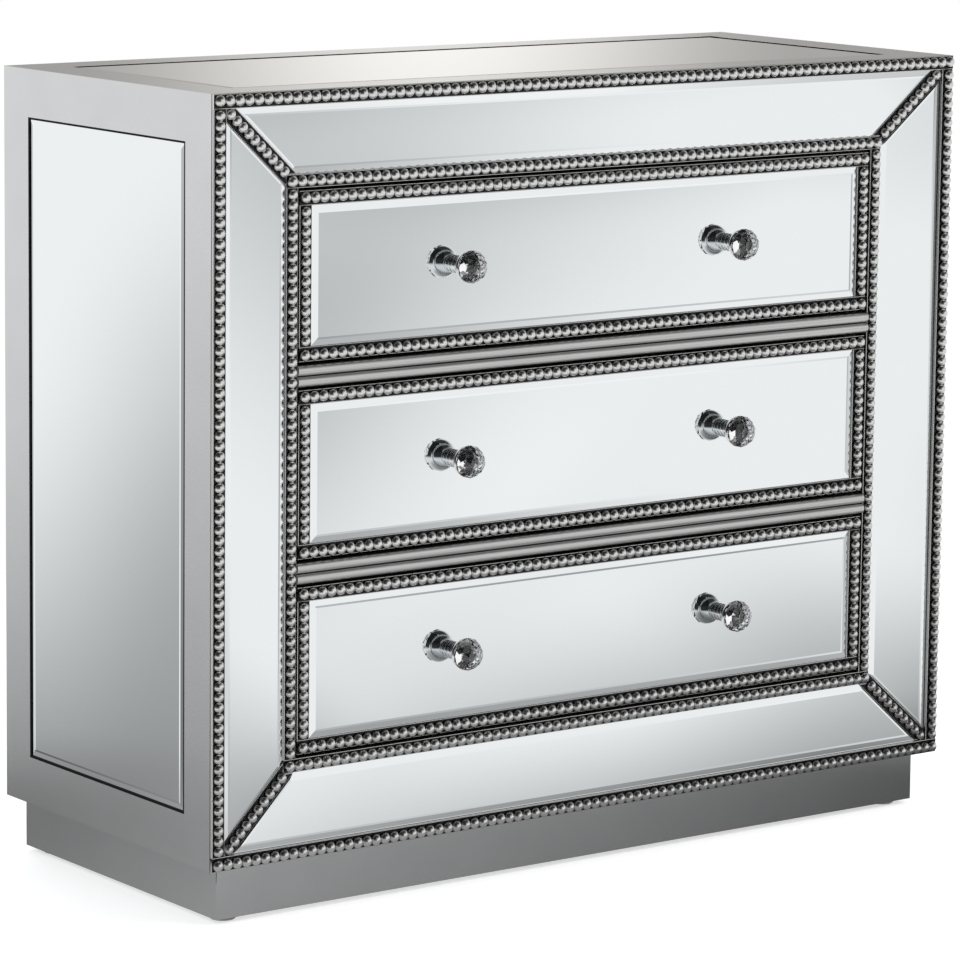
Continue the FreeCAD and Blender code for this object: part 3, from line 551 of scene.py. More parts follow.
# %% Plastic, sealant and crystal
plastic, tree, surface = new_material("moulded_polyethylene")
place = pattern_place(tree)
sand = add_node(tree, "ShaderNodeTexNoise", {"Vector": place, "Scale": 1 / mm(0.8), "Detail": 1.0})
bump = add_node(tree, "ShaderNodeBump", {"Height": sand, "Distance": mm(0.05), "Strength": 0.5})
blotch = add_node(tree, "ShaderNodeTexNoise", {"Vector": place, "Scale": 1 / mm(12)})
tint = add_node(tree, "ShaderNodeMix", {
    "Factor": blotch, "A": colour("7C7A77"), "B": colour("8B8986")}, data_type="RGBA")
feed(surface, {"Base Color": tint, "Normal": bump, "Roughness": 0.42})

sealant, tree, surface = new_material("black_silicone")
skin = add_node(tree, "ShaderNodeTexNoise", {"Vector": pattern_place(tree), "Scale": 1 / mm(3)})
bump = add_node(tree, "ShaderNodeBump", {"Height": skin, "Distance": mm(0.05), "Strength": 0.4})
feed(surface, {"Base Color": colour("0E0E0E"), "Normal": bump, "Roughness": 0.6,
               "Specular IOR Level": 0.1})

crystal, tree, surface = new_material("cut_crystal")
feed(surface, {"Base Color": colour("FFFFFF"), "Transmission Weight": 1.0, "Roughness": 0.0,
               "IOR": 1.54})

# %% [markdown]
# ## Wood that the mirrors hide
#
# Hardboard is wood fibre pressed smooth: brown, with specks of darker fibre.  Plywood has
# grain on its faces and thin stripes on its edges, one for each ply.  The grain follows the
# board's length, so each board gets the plywood whose grain runs its way.

# %% Hardboard
hardboard, tree, surface = new_material("hardboard")
fibre = add_node(tree, "ShaderNodeTexNoise", {
    "Vector": pattern_place(tree), "Scale": 1 / mm(1.6), "Detail": 4.0})
tint = add_node(tree, "ShaderNodeMix", {
    "Factor": fibre, "A": colour("5E432E"), "B": colour("8E6B4C")}, data_type="RGBA")
bump = add_node(tree, "ShaderNodeBump", {"Height": fibre, "Distance": mm(0.05), "Strength": 0.4})
feed(surface, {"Base Color": tint, "Normal": bump, "Roughness": 0.55})

# %% Plywood
PLY = mm(1.5)                 # thickness of one ply
GRAIN_WIDTH, GRAIN_LENGTH = mm(5), mm(120)


def plywood(name, length, thickness):
    """Plywood whose grain runs along one axis and whose plies are stacked along another."""
    material, tree, surface = new_material(name)
    place = pattern_place(tree)
    stretched = add_node(tree, "ShaderNodeMapping", {"Vector": place, "Scale": [
        1 / (GRAIN_LENGTH if axis == length else GRAIN_WIDTH) for axis in "XYZ"]})
    grain = add_node(tree, "ShaderNodeTexNoise", {
        "Vector": stretched, "Scale": 1.0, "Detail": 5.0, "Distortion": 0.6})
    face = add_node(tree, "ShaderNodeValToRGB", {0: grain})
    set_stops(face, [(0.30, colour("BE9C6C")), (0.66, colour("DCC499"))])
    across = add_node(tree, "ShaderNodeSeparateXYZ", {0: place}).outputs[thickness]
    layer = add_node(tree, "ShaderNodeMath", {0: across, 1: PLY}, operation="PINGPONG")
    # Every second ply is dark; the edge between two is a little blurred.
    dark_ply = add_node(tree, "ShaderNodeMapRange", {
        "Value": layer, "From Min": 0.4 * PLY, "From Max": 0.6 * PLY})
    edge = add_node(tree, "ShaderNodeMix", {"Factor": dark_ply, "A": face, "B": colour("9A7448")},
                    data_type="RGBA")
    # The board's face is where the surface looks along the stack of plies.
    normal = add_node(tree, "ShaderNodeNewGeometry").outputs["True Normal"]
    turned = add_node(tree, "ShaderNodeSeparateXYZ", {0: normal}).outputs[thickness]
    flat_on = add_node(tree, "ShaderNodeMath", {0: turned}, operation="ABSOLUTE")
    is_face = add_node(tree, "ShaderNodeMath", {0: flat_on, 1: 0.7}, operation="GREATER_THAN")
    wood = add_node(tree, "ShaderNodeMix", {"Factor": is_face, "A": edge, "B": face}, data_type="RGBA")
    bump = add_node(tree, "ShaderNodeBump", {"Height": grain, "Distance": mm(0.1), "Strength": 0.4})
    feed(surface, {"Base Color": wood, "Normal": bump, "Roughness": 0.42})
    return material


plywood_along = plywood("plywood_front_to_back", "Y", "X")
plywood_across = plywood("plywood_side_to_side", "X", "Y")

# %% [markdown]
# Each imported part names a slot, which is what it is finished with.  The parts that stay in
# sight get the slot's material, and so do the finer pieces that stand for the others below.

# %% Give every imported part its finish
FINISHES = {
    "silver_paint": silver_lacquer,
    "mirror_glass": mirror_glass,
    "antique_silver_beads": antique_silver,
    "brushed_silver_reeds": brushed_silver,
    "knob_chrome": chrome,
    "knob_crystal": crystal,
    "slide_steel": zinc,
    "screw_steel": zinc,
    "glide_plastic": plastic,
    "hardboard": hardboard,
    "drawer_wood": plywood_along,
}
for part in frame["record"]["subparts"]:
    finish = FINISHES[part["material_slot"]]
    if part["node"].endswith("_drawer_back"):
        finish = plywood_across
    slots = frame["nodes"][part["node"]].data.materials
    slots.clear()
    slots.append(finish)
print("finishes:", len(FINISHES))

# %% [markdown]
# ## Eased edges
#
# The sides and the top are mitred and filled before they are sprayed, so no joint shows on
# the case, and a sander takes the sharpness off every edge, which then catches a fine line
# of light.  Copies of the boards are joined with a Boolean, which is exact where they
# touch, and a small Bevel eases the edges of the whole.

# %% Helpers for pieces
def show(mesh, name, body, slot, *replaced):
    """Puts a finished mesh in the scene as a piece that rides on a body."""
    if not mesh.materials:
        mesh.materials.append(FINISHES[slot])
    piece = new_object(name, mesh)
    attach(piece, body)
    if replaced:
        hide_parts(*replaced)
    print(f"{name}: {len(mesh.polygons)} faces on {body}")


def merged(mesh, name, nearest, flattest):
    """An object whose mesh is a copy with its doubles merged and its flat faces made whole."""
    shape = bmesh.new()
    shape.from_mesh(mesh)
    bmesh.ops.remove_doubles(shape, verts=shape.verts, dist=nearest)
    bmesh.ops.dissolve_limit(shape, angle_limit=flattest, verts=shape.verts, edges=shape.edges)
    print(name, "has", sum(not edge.is_manifold for edge in shape.edges), "open edges")
    copy = bpy.data.meshes.new(name)
    shape.to_mesh(copy)
    shape.free()
    return new_object(name, copy)


def baked(piece):
    """The plain mesh that a piece's modifiers make; the piece itself is removed."""
    graph = bpy.context.evaluated_depsgraph_get()
    mesh = bpy.data.meshes.new_from_object(piece.evaluated_get(graph), preserve_all_data_layers=True,
                                           depsgraph=graph)
    bpy.data.objects.remove(piece)
    return mesh


# %% Join and ease the boards
EASED = mm(0.7)
SAME_CORNER, SAME_PLANE = mm(0.001), math.radians(0.2)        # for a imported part's triangles
JOINED_CORNER, JOINED_PLANE = mm(0.01), math.radians(0.5)     # for what a Boolean leaves
SHARPEST = math.radians(40)   # edges that turn more than this are eased
SQUARE_ON = 0.999             # a face that looks straight along an axis is a flat board face


def eased_boards(name, nodes):
    """Boards joined into one piece with eased edges."""
    first, *others = [merged(frame["nodes"][node].data, node + "_copy", SAME_CORNER, SAME_PLANE)
                      for node in nodes]
    for other in others:
        join = first.modifiers.new("join", "BOOLEAN")
        join.operation = "UNION"
        join.solver = "EXACT"
        join.object = other
    joined = baked(first)
    for other in others:
        bpy.data.objects.remove(other)
    piece = merged(joined, name, JOINED_CORNER, JOINED_PLANE)
    ease = piece.modifiers.new("ease", "BEVEL")
    ease.width = EASED
    ease.segments = 2
    ease.limit_method = "ANGLE"
    ease.angle_limit = SHARPEST
    mesh = baked(piece)
    for face in mesh.polygons:
        face.use_smooth = max(abs(part) for part in face.normal) < SQUARE_ON
    mesh.materials.clear()
    show(mesh, name, "case", "silver_paint", *nodes)


eased_boards("case_carcass", ("side_panel_left", "top_panel", "side_panel_right"))
eased_boards("plinth_boards", ("plinth_front", "plinth_sides", "plinth_back"))

# %% [markdown]
# ## Bevelled mirrors
#
# A glass cutter grinds the edge of each pane to a shallow slope, then polishes it, which
# leaves a narrow shoulder where the slope meets the face.  A Bevel modifier could do this,
# but the border panes need a narrower slope along their mitres, so each pane is built as
# rings of corners instead: back, edge, and both sides of the shoulder.  Every face stays
# flat, as on cut glass, so the shoulder shows as one fine line of light.

# %% Helpers for shapes made of rings
def new_shape():
    """An empty bmesh whose corners carry a recess value."""
    shape = bmesh.new()
    shape.verts.layers.float.new("recess")
    return shape


def add_ring(shape, points, recesses=()):
    """A ring of corners, with their recess values where they have any."""
    layer = shape.verts.layers.float["recess"]
    ring = [shape.verts.new(point) for point in points]
    for vertex, recess in zip(ring, recesses):
        vertex[layer] = recess
    return ring


def join_rings(shape, rings, endless=False):
    """Faces from each ring to the next, and over both ends or from the last to the first."""
    if endless:
        rings = rings + rings[:1]
    else:
        for end in (rings[0][::-1], rings[-1]):
            if len(end) > 1:
                shape.faces.new(end)
    for near, far in zip(rings, rings[1:]):
        count = max(len(near), len(far))
        for i in range(count):
            j = (i + 1) % count
            around = (near[i % len(near)], near[j % len(near)], far[j % len(far)], far[i % len(far)])
            corners = list(dict.fromkeys(around))     # a ring of one corner gives triangles
            if len(corners) > 2:
                shape.faces.new(corners)


def finished(shape, name, smooth_angle=None):
    """A bmesh as a plain mesh with its faces pointing outwards."""
    bmesh.ops.recalc_face_normals(shape, faces=shape.faces)
    mesh = bpy.data.meshes.new(name)
    shape.to_mesh(mesh)
    shape.free()
    if smooth_angle:
        mesh.shade_smooth()
        mesh.set_sharp_from_angle(angle=math.radians(smooth_angle))
    return mesh


# %% One pane
GLASS = mm(4)
BEVEL_DROP = mm(1.0)
BEVEL, MITRE_BEVEL = mm(7), mm(2.4)
SHOULDER = mm(1.0)            # half the width over which the polished edge rounds


def inset(corners, outward, widths):
    """Corners moved in from the edges of a flat outline; a width for each edge."""
    moved = []
    for i, corner in enumerate(corners):
        before = (corner - corners[i - 1]).normalized()
        after = (corners[(i + 1) % len(corners)] - corner).normalized()
        turn = before.cross(after).dot(outward)
        moved.append(corner + (after * widths[i - 1] - before * widths[i]) / turn)
    return moved


def pane(node, body, corners, outward, widths):
    """A bevelled mirror whose face has these corners, anticlockwise as one looks at it."""
    shape = new_shape()
    outlines = [(corners, GLASS), (corners, BEVEL_DROP)]
    for past, drop in ((-SHOULDER, BEVEL_DROP * SHOULDER / BEVEL), (SHOULDER, 0.0)):
        shares = [width + (past if width > SHOULDER else past * width / SHOULDER / 2)
                  for width in widths]
        outlines.append((inset(corners, outward, shares), drop))
    join_rings(shape, [add_ring(shape, [corner - outward * drop for corner in outline])
                       for outline, drop in outlines])
    show(finished(shape, node + "_pane"), node + "_pane", body, "mirror_glass", node)


# %% [markdown]
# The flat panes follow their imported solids' boxes.  The border's panes slope towards the
# drawers, so their corners are read from their solids' faces.

# %% The panes
SAME_LEVEL = mm(0.2)          # corners this near one height belong to one edge
FRONTWARDS = -0.9             # the Y of a normal that points to the front
SLANTED = 0.2                 # an edge that strays further than this share of its length is a mitre
INLAID = (("side_mirror_left", -RIGHT), ("side_mirror_right", RIGHT), ("top_mirror", UP))


def pane_corners(low, high, outward):
    """The corners of an upright or level pane's face, anticlockwise as one looks at it."""
    up = -FORWARD if outward.z else UP
    across = up.cross(outward)
    ways = [outward + across * x + up * y for x, y in ((-1, -1), (1, -1), (1, 1), (-1, 1))]
    return [Vector([high[i] if way[i] > 0 else low[i] for i in range(3)]) for way in ways]


def border_corners(node):
    """The face corners of a sloping border pane, and the way that it faces."""
    mesh = frame["nodes"][node].data
    face = max(mesh.polygons, key=lambda polygon: polygon.area * (polygon.normal.y < FRONTWARDS))
    outward = face.normal.copy()
    heights = {tuple(round(c, 6) for c in v.co): v.co.dot(outward) for v in mesh.vertices}
    edge_level = max(heights.values()) - BEVEL_DROP
    edge = [Vector(place) for place, level in heights.items() if abs(level - edge_level) < SAME_LEVEL]
    middle = sum(edge, Vector()) / len(edge)
    edge.sort(key=lambda corner: math.atan2(corner.z - middle.z, corner.x - middle.x))
    return [corner + outward * BEVEL_DROP for corner in edge], outward


for side in ("left", "right", "top", "bottom"):
    node = "border_mirror_" + side
    corners, outward = border_corners(node)
    widths = []
    for i, corner in enumerate(corners):
        run = corners[(i + 1) % len(corners)] - corner
        slanted = min(abs(run.x), abs(run.z)) > SLANTED * run.length
        widths.append(MITRE_BEVEL if slanted else BEVEL)
    pane(node, "case", corners, outward, widths)
for node, body, outward in (*((name + "_drawer_mirror", name + "_drawer", FORWARD) for name in DRAWERS),
                            *((name, "case", outward) for name, outward in INLAID)):
    pane(node, body, pane_corners(*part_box(node), outward), outward, [BEVEL] * 4)

# %% [markdown]
# The side and top mirrors lie in pockets a little larger than themselves.  The joint round
# each is filled with black sealant, which shows as a fine dark line.  It is one tube of
# rings that goes down the pane's edge, along the pocket's wall and over the joint.

# %% Sealant round the inlaid mirrors
INLAY_GAP = mm(2.2)
SEALANT_OVER = mm(0.05)       # the sealant's face stands this far over the mirror's
SEALANT_LAP = mm(0.1)         # and laps this far onto its slope
FRONT_LAP = mm(1.2)           # or this far on the side mirrors' front edges
HAIR = mm(0.03)

for node, outward in INLAID:
    face = pane_corners(*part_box(node), outward)
    shape = new_shape()
    laps = [SEALANT_LAP] * 4
    if not outward.z:
        laps[1 if outward.x < 0 else 3] = FRONT_LAP
    on_slope = []             # how deep the sealant's edge lies at each corner
    for i in range(4):
        nearest = min(laps[i], laps[i - 1])
        on_slope.append(BEVEL_DROP * (1 - nearest / BEVEL) - BEVEL_DROP * (max(laps) - nearest) / BEVEL
                        - HAIR)
    outside, beyond = [-HAIR] * 4, [HAIR - INLAY_GAP] * 4
    rings = []
    for widths, drops in ((outside, [GLASS] * 4), (outside, [BEVEL_DROP] * 4), (laps, on_slope),
                          ([lap / 2 for lap in laps], [-SEALANT_OVER] * 4),
                          (beyond, [-SEALANT_OVER] * 4), (beyond, [GLASS] * 4)):
        rings.append(add_ring(shape, [corner - outward * drop for corner, drop
                                      in zip(inset(face, outward, widths), drops)]))
    join_rings(shape, rings, endless=True)
    mesh = finished(shape, node + "_sealant")
    mesh.materials.append(sealant)
    show(mesh, node + "_sealant", "case", "glide_plastic")

# %% [markdown]
# ## Bead mouldings
#
# Each moulding is a flat strip with a row of half-round beads pressed into it.  Hundreds of
# beads would be a chore to place by hand.  A Geometry Nodes tree lays them on a line, each
# a dome of a few dozen faces, makes some a little smaller, as leaf does, and stores in
# every corner how deep it lies.

# %% The row of beads, as Geometry Nodes
BEAD_DIAMETER = mm(10.8)      # in the upright and mitre rows
LEVEL_BEAD_DIAMETER = mm(11.52)
BEAD_MERGE = mm(0.15)         # neighbours run into each other by at least this
BEAD_SWELL = 1.11             # leaf and lacquer fill the notches, so the beads look fuller
BEAD_WOBBLE = 0.02            # the smallest beads are smaller by this share
BEAD_SEGMENTS, BEAD_RINGS = 12, 8

bead_row, given = new_group("bead_row", "GeometryNodeTree", (
    ("Geometry", "Geometry"), ("First bead", "Vector"), ("Last bead", "Vector"), ("Beads", "Int"),
    ("Bead diameter", "Float"), ("Facing", "Vector"), ("Wobble", "Float"), ("Seed", "Int"),
    ("Finish", "Material")), ("Geometry", "Geometry"))
line = add_node(bead_row, "GeometryNodeMeshLine", {
    "Count": given["Beads"], "Start Location": given["First bead"],
    "Offset": given["Last bead"]}, mode="END_POINTS")
radius = add_node(bead_row, "ShaderNodeMath", {0: given["Bead diameter"], 1: 0.5}, operation="MULTIPLY")
ball = add_node(bead_row, "GeometryNodeMeshUVSphere", {
    "Segments": BEAD_SEGMENTS, "Rings": BEAD_RINGS, "Radius": radius})
# The lower half of each ball is pressed up into a flat back, which keeps flat shading.
place = add_node(bead_row, "GeometryNodeInputPosition")
raised = add_node(bead_row, "ShaderNodeVectorMath", {0: place, 1: (-1.0, -1.0, 0.0)},
                  operation="MAXIMUM")
dome = add_node(bead_row, "GeometryNodeSetPosition", {"Geometry": ball, "Position": raised})
normal = add_node(bead_row, "GeometryNodeInputNormal")
upward = add_node(bead_row, "ShaderNodeSeparateXYZ", {0: normal}).outputs["Z"]
is_dome = add_node(bead_row, "FunctionNodeCompare", {0: upward, 1: -0.5}, operation="GREATER_THAN")
flat = add_node(bead_row, "GeometryNodeSetShadeSmooth", {"Geometry": dome, "Shade Smooth": False})
smooth = add_node(bead_row, "GeometryNodeSetShadeSmooth", {
    "Geometry": flat, "Selection": is_dome, "Shade Smooth": True})
# The recess is 0 at the top of the dome and 1 at its back, where the finish paints dark wax and painted
# shade.
above = add_node(bead_row, "ShaderNodeSeparateXYZ", {0: place}).outputs["Z"]
share = add_node(bead_row, "ShaderNodeMath", {0: above, 1: radius}, operation="DIVIDE")
depth = add_node(bead_row, "ShaderNodeMath", {0: 1.0, 1: share}, operation="SUBTRACT")
bead = add_node(bead_row, "GeometryNodeStoreNamedAttribute", {
    "Geometry": smooth, "Name": "recess", "Value": depth}, data_type="FLOAT", domain="POINT")
# One bead stands on each point of the line, and each is a little smaller or larger.
turn = add_node(bead_row, "FunctionNodeEulerToRotation", {0: given["Facing"]})
smallest = add_node(bead_row, "ShaderNodeMath", {0: 1.0, 1: given["Wobble"]}, operation="SUBTRACT")
size = add_node(bead_row, "FunctionNodeRandomValue", {
    "Min": smallest, "Max": 1.0, "Seed": given["Seed"]}, data_type="FLOAT")
row = add_node(bead_row, "GeometryNodeInstanceOnPoints", {
    "Points": line, "Instance": bead, "Rotation": turn, "Scale": size})
real = add_node(bead_row, "GeometryNodeRealizeInstances", {0: row})
both = add_node(bead_row, "GeometryNodeJoinGeometry", {0: given["Geometry"]})
feed(both, {0: real})
finish = add_node(bead_row, "GeometryNodeSetMaterial", {"Geometry": both, "Material": given["Finish"]})
add_node(bead_row, "NodeGroupOutput", {0: finish})


def add_layer(piece, group, values):
    """Adds a Geometry Nodes modifier and sets its inputs, which go by their identifiers."""
    layer = piece.modifiers.new(group.name, "NODES")
    layer.node_group = group
    for item in group.interface.items_tree:
        if item.in_out == "INPUT" and item.name in values:
            layer[item.identifier] = values[item.name]


def lay_beads(piece, first, last, count, facing, seed, diameter=BEAD_DIAMETER):
    """Adds a row of beads to a piece, from the first bead's middle to the last's."""
    add_layer(piece, bead_row, {
        "First bead": first, "Last bead": last, "Beads": count, "Bead diameter": diameter * BEAD_SWELL,
        "Facing": facing, "Wobble": BEAD_WOBBLE, "Seed": seed, "Finish": antique_silver})


print("bead row nodes:", len(bead_row.nodes))

# %% [markdown]
# The strip under the beads is planed wood with its front edges rounded.  A bar carries its
# section from one end to the other, and each corner of the section has its own recess: the
# flats beside the beads are dark, with wax and painted shade, and the wax is rubbed off the
# rounded edges, which stay silver.

# %% The strips and their rows
STRIP_THICKNESS = mm(4.5)
STRIP_ROUND = mm(0.6)
WAX_AND_SHADE_FROM = mm(0.1)            # the wax and painted shade start this far from the rounded edge
CREVICE, ARRIS = 0.95, 0.2    # recess of the flats, dark with wax and painted shade, and of the rounded edges
STRIP_SMOOTH = 40             # degrees; sharper edges stay sharp
OUTER_WIDTH, INNER_WIDTH, DRAWER_WIDTH = mm(15), mm(14), mm(15)
BEAD_LINE = mm(1.0) + LEVEL_BEAD_DIAMETER / 2     # from a wide strip's edge to its beads' middles
FACE_FRONT = (math.pi / 2, 0.0, 0.0)


def strip_section(width, thickness, steps=3):
    """A strip's section as (across, out, recess) points, with rounded front corners."""
    points = [(0.0, 0.0, CREVICE)]
    for centre, start in ((STRIP_ROUND, math.pi), (width - STRIP_ROUND, math.pi / 2)):
        corner = []
        for step in range(steps + 1):
            angle = start - step / steps * math.pi / 2
            corner.append((centre + STRIP_ROUND * math.cos(angle),
                           thickness - STRIP_ROUND + STRIP_ROUND * math.sin(angle), ARRIS))
        # The flat beside each rounded edge starts dark: wax and painted shade.
        wax_and_shade = [(centre + (WAX_AND_SHADE_FROM if centre < width / 2 else -WAX_AND_SHADE_FROM), thickness, CREVICE)]
        points += corner + wax_and_shade if centre < width / 2 else wax_and_shade + corner
    points.append((width, 0.0, CREVICE))
    return points


def add_bar(shape, start, along, across, out, section):
    """A bar that carries a section from start along a vector."""
    section = section[::-1]
    recesses = [recess for _, _, recess in section]
    join_rings(shape, [add_ring(shape, [end + across * a + out * b for a, b, _ in section], recesses)
                       for end in (start, start + along)])


def moulding_frame(name, body, node, width, bead_line):
    """Four beaded strips round a rectangle: long ones above and below, short ones between."""
    low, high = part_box(node)
    level = RIGHT * (high.x - low.x)
    upright = UP * (high.z - low.z - 2 * width)
    strips = (
        # start, length, the way across, bead diameter
        (Vector((low.x, high.y, high.z)), level, -UP, LEVEL_BEAD_DIAMETER),
        (Vector((low.x, high.y, low.z)), level, UP, LEVEL_BEAD_DIAMETER),
        (Vector((low.x, high.y, low.z + width)), upright, RIGHT, BEAD_DIAMETER),
        (Vector((high.x, high.y, low.z + width)), upright, -RIGHT, BEAD_DIAMETER),
    )
    shape = new_shape()
    for start, along, across, _ in strips:
        add_bar(shape, start, along, across, FORWARD, strip_section(width, STRIP_THICKNESS))
    piece = new_object(name, finished(shape, name, STRIP_SMOOTH))
    total = 0
    for number, (start, along, across, diameter) in enumerate(strips):
        count = math.ceil(along.length / (diameter - BEAD_MERGE))
        half_step = along.normalized() * max(along.length / count, diameter * BEAD_SWELL) / 2
        first = start + half_step + across * bead_line
        last = first + along - 2 * half_step
        first.y = last.y = high.y - STRIP_THICKNESS
        lay_beads(piece, first, last, count, FACE_FRONT, number, diameter)
        total += count
    print(name, "has", total, "beads")
    show(baked(piece), name, body, "antique_silver_beads", node)


moulding_frame("outer_beading", "case", "outer_bead_mouldings", OUTER_WIDTH, BEAD_LINE)
moulding_frame("inner_beading", "case", "inner_bead_mouldings", INNER_WIDTH, INNER_WIDTH / 2)
for drawer in DRAWERS:
    moulding_frame(drawer + "_drawer_beading", drawer + "_drawer",
                   drawer + "_drawer_bead_mouldings", DRAWER_WIDTH, BEAD_LINE)

# %% [markdown]
# The four mitres of the border are covered by shorter strips.  Each runs down the slope of
# the dish, from the outer moulding's corner to the inner one's, so its plan has pointed
# ends that fill both corners.

# %% Mitre strips
MITRE_WIDTH = mm(16.6)
MITRE_CLEARANCE = mm(0.4)
MITRE_BEADS = 10
MITRE_BED = mm(2)             # how far the strip's back is sunk into the boards under it
MITRE_EDGE, MITRE_FLAT = 0.012, 0.03      # shares by which the top rings draw in
FIRST_MITRE_SEED = 20
outer_low, outer_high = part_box("outer_bead_mouldings")
inner_low, inner_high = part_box("inner_bead_mouldings")
border_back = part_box("border_mirror_left")[0].y + GLASS


def add_mitre(shape, outer, inner, side, inward):
    """One strip from the outer moulding's inner corner to the inner moulding's outer one."""
    run, rise = abs(inner.x - outer.x), abs(inner.z - outer.z)
    angle = math.atan2(rise, run)
    aside = MITRE_WIDTH / 2 / math.sin(angle)
    along = MITRE_WIDTH / 2 / math.cos(angle)
    plan = ((0, along), (run, rise + along), (run, rise), (run + aside, rise), (aside, 0), (0, 0))
    middle_x, middle_z = run / 2 + aside / 4, rise / 2 + along / 4
    span = math.hypot(run, rise)
    slope = (inner.y - outer.y) / span
    out = STRIP_THICKNESS / math.cos(math.atan(slope))
    rings = []
    for lift, recess, shrink in ((-MITRE_BED, CREVICE, 0.0), (out - STRIP_ROUND, ARRIS, 0.0),
                                 (out, ARRIS, MITRE_EDGE), (out, CREVICE, MITRE_FLAT)):
        points = []
        for x, z in plan:
            x += (middle_x - x) * shrink
            z += (middle_z - z) * shrink
            seat = outer.y + slope * (x * run + z * rise) / span
            points.append((outer.x + side * x, seat - lift, outer.z + inward * z))
        rings.append(add_ring(shape, points, [recess] * len(plan)))
    join_rings(shape, rings)
    return angle


def mitre_row(piece, outer, inner, angle, seed):
    """The bead row on one mitre strip."""
    length = (inner - outer).length
    unit = (inner - outer) / length
    row_start = BEAD_DIAMETER / 2 / math.sin(min(angle, math.pi / 2 - angle))
    row_start += MITRE_CLEARANCE - (BEAD_DIAMETER - BEAD_MERGE) / 2
    pitch = (length - row_start - MITRE_CLEARANCE) / MITRE_BEADS
    outward = unit.cross(FORWARD).normalized().cross(unit)
    if outward.y > 0:
        outward.negate()
    first = outer + unit * (row_start + pitch / 2) + outward * STRIP_THICKNESS
    last = first + unit * pitch * (MITRE_BEADS - 1)
    lay_beads(piece, first, last, MITRE_BEADS, outward.to_track_quat("Z", "Y").to_euler(), seed)


shape = new_shape()
mitres = []
for side, outer_x, inner_x in ((1, outer_low.x + OUTER_WIDTH, inner_low.x),
                               (-1, outer_high.x - OUTER_WIDTH, inner_high.x)):
    for inward, outer_z, inner_z in ((-1, outer_high.z - OUTER_WIDTH, inner_high.z),
                                     (1, outer_low.z + OUTER_WIDTH, inner_low.z)):
        outer = Vector((outer_x, border_back, outer_z))
        inner = Vector((inner_x, inner_high.y, inner_z))
        mitres.append((outer, inner, add_mitre(shape, outer, inner, side, inward)))
piece = new_object("mitre_beading", finished(shape, "mitre_beading", STRIP_SMOOTH))
for number, (outer, inner, angle) in enumerate(mitres):
    mitre_row(piece, outer, inner, angle, FIRST_MITRE_SEED + number)
    print("mitre strip at", [round(1000 * x) for x in outer], "angle", round(math.degrees(angle), 1))
show(baked(piece), "mitre_beading", "case", "antique_silver_beads", "mitre_bead_mouldings")

# %% [markdown]
# ## Reeds between the drawers
#
# Each divider rail carries a double reed: two shallow rounds side by side, planed along one
# strip of wood.  The section is two arcs, and each of its points knows how near it is to a
# groove, where the finish is dark: partly antique wax and partly painted shade.

# %% The double reeds
REED_BASE, REED_RISE = mm(4.0), mm(3.5)
REED_STEPS = 12
REED_SMOOTH = 30              # degrees


def reed_section(height):
    """Two arcs side by side on a flat base, as (across, out, recess) points."""
    half = height / 4
    radius = (half * half + REED_RISE * REED_RISE) / (2 * REED_RISE)
    points = [(0.0, 0.0, CREVICE)]
    for middle in (half, 3 * half):
        for step in range(0 if middle == half else 1, REED_STEPS + 1):
            across = (2 * step / REED_STEPS - 1) * half
            rise = math.sqrt(radius * radius - across * across) - (radius - REED_RISE)
            points.append((middle + across, REED_BASE + rise, abs(across) / half))
    points.append((height, 0.0, CREVICE))
    return points


low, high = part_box("reed_mouldings")
drawer_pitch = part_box("upper_drawer_front")[0].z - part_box("middle_drawer_front")[0].z
reed_height = high.z - low.z - drawer_pitch
shape = new_shape()
for bottom in (low.z, high.z - reed_height):
    add_bar(shape, Vector((low.x, high.y, bottom)), Vector((high.x - low.x, 0, 0)), UP, FORWARD,
            reed_section(reed_height))
    print("reed from", round(1000 * bottom, 2), "to", round(1000 * (bottom + reed_height), 2), "mm")
show(finished(shape, "double_reeds", REED_SMOOTH), "double_reeds", "case", "brushed_silver_reeds",
     "reed_mouldings")

# %% [markdown]
# ## Screws
#
# The back panel and the slides are held with pan-head screws that have a cross recess.  A
# head is a stack of twelve-sided rings, and because a cross has twelve corners, the same
# stack can go straight down into the recess.

# %% One screw
SCREW_SHANK, SCREW_HEAD_WIDTH = mm(3.2), mm(6.8)
CROSS_REACH, CROSS_HALF = mm(1.9), mm(0.42)       # from the middle to an arm's end, and half its width
CROSS_TAPER, CROSS_FLOOR = 0.55, 0.35     # the recess's floor, as shares of its width and the head
TIP_WIDTH, TIP_FROM = 0.3, 0.8            # the point, as shares of the shank's width and length
HEAD_DOME = ((0.98, 0.55), (0.82, 0.9))   # its rounding, as shares of the head's width and height
SCREW_SMOOTH = 30             # degrees


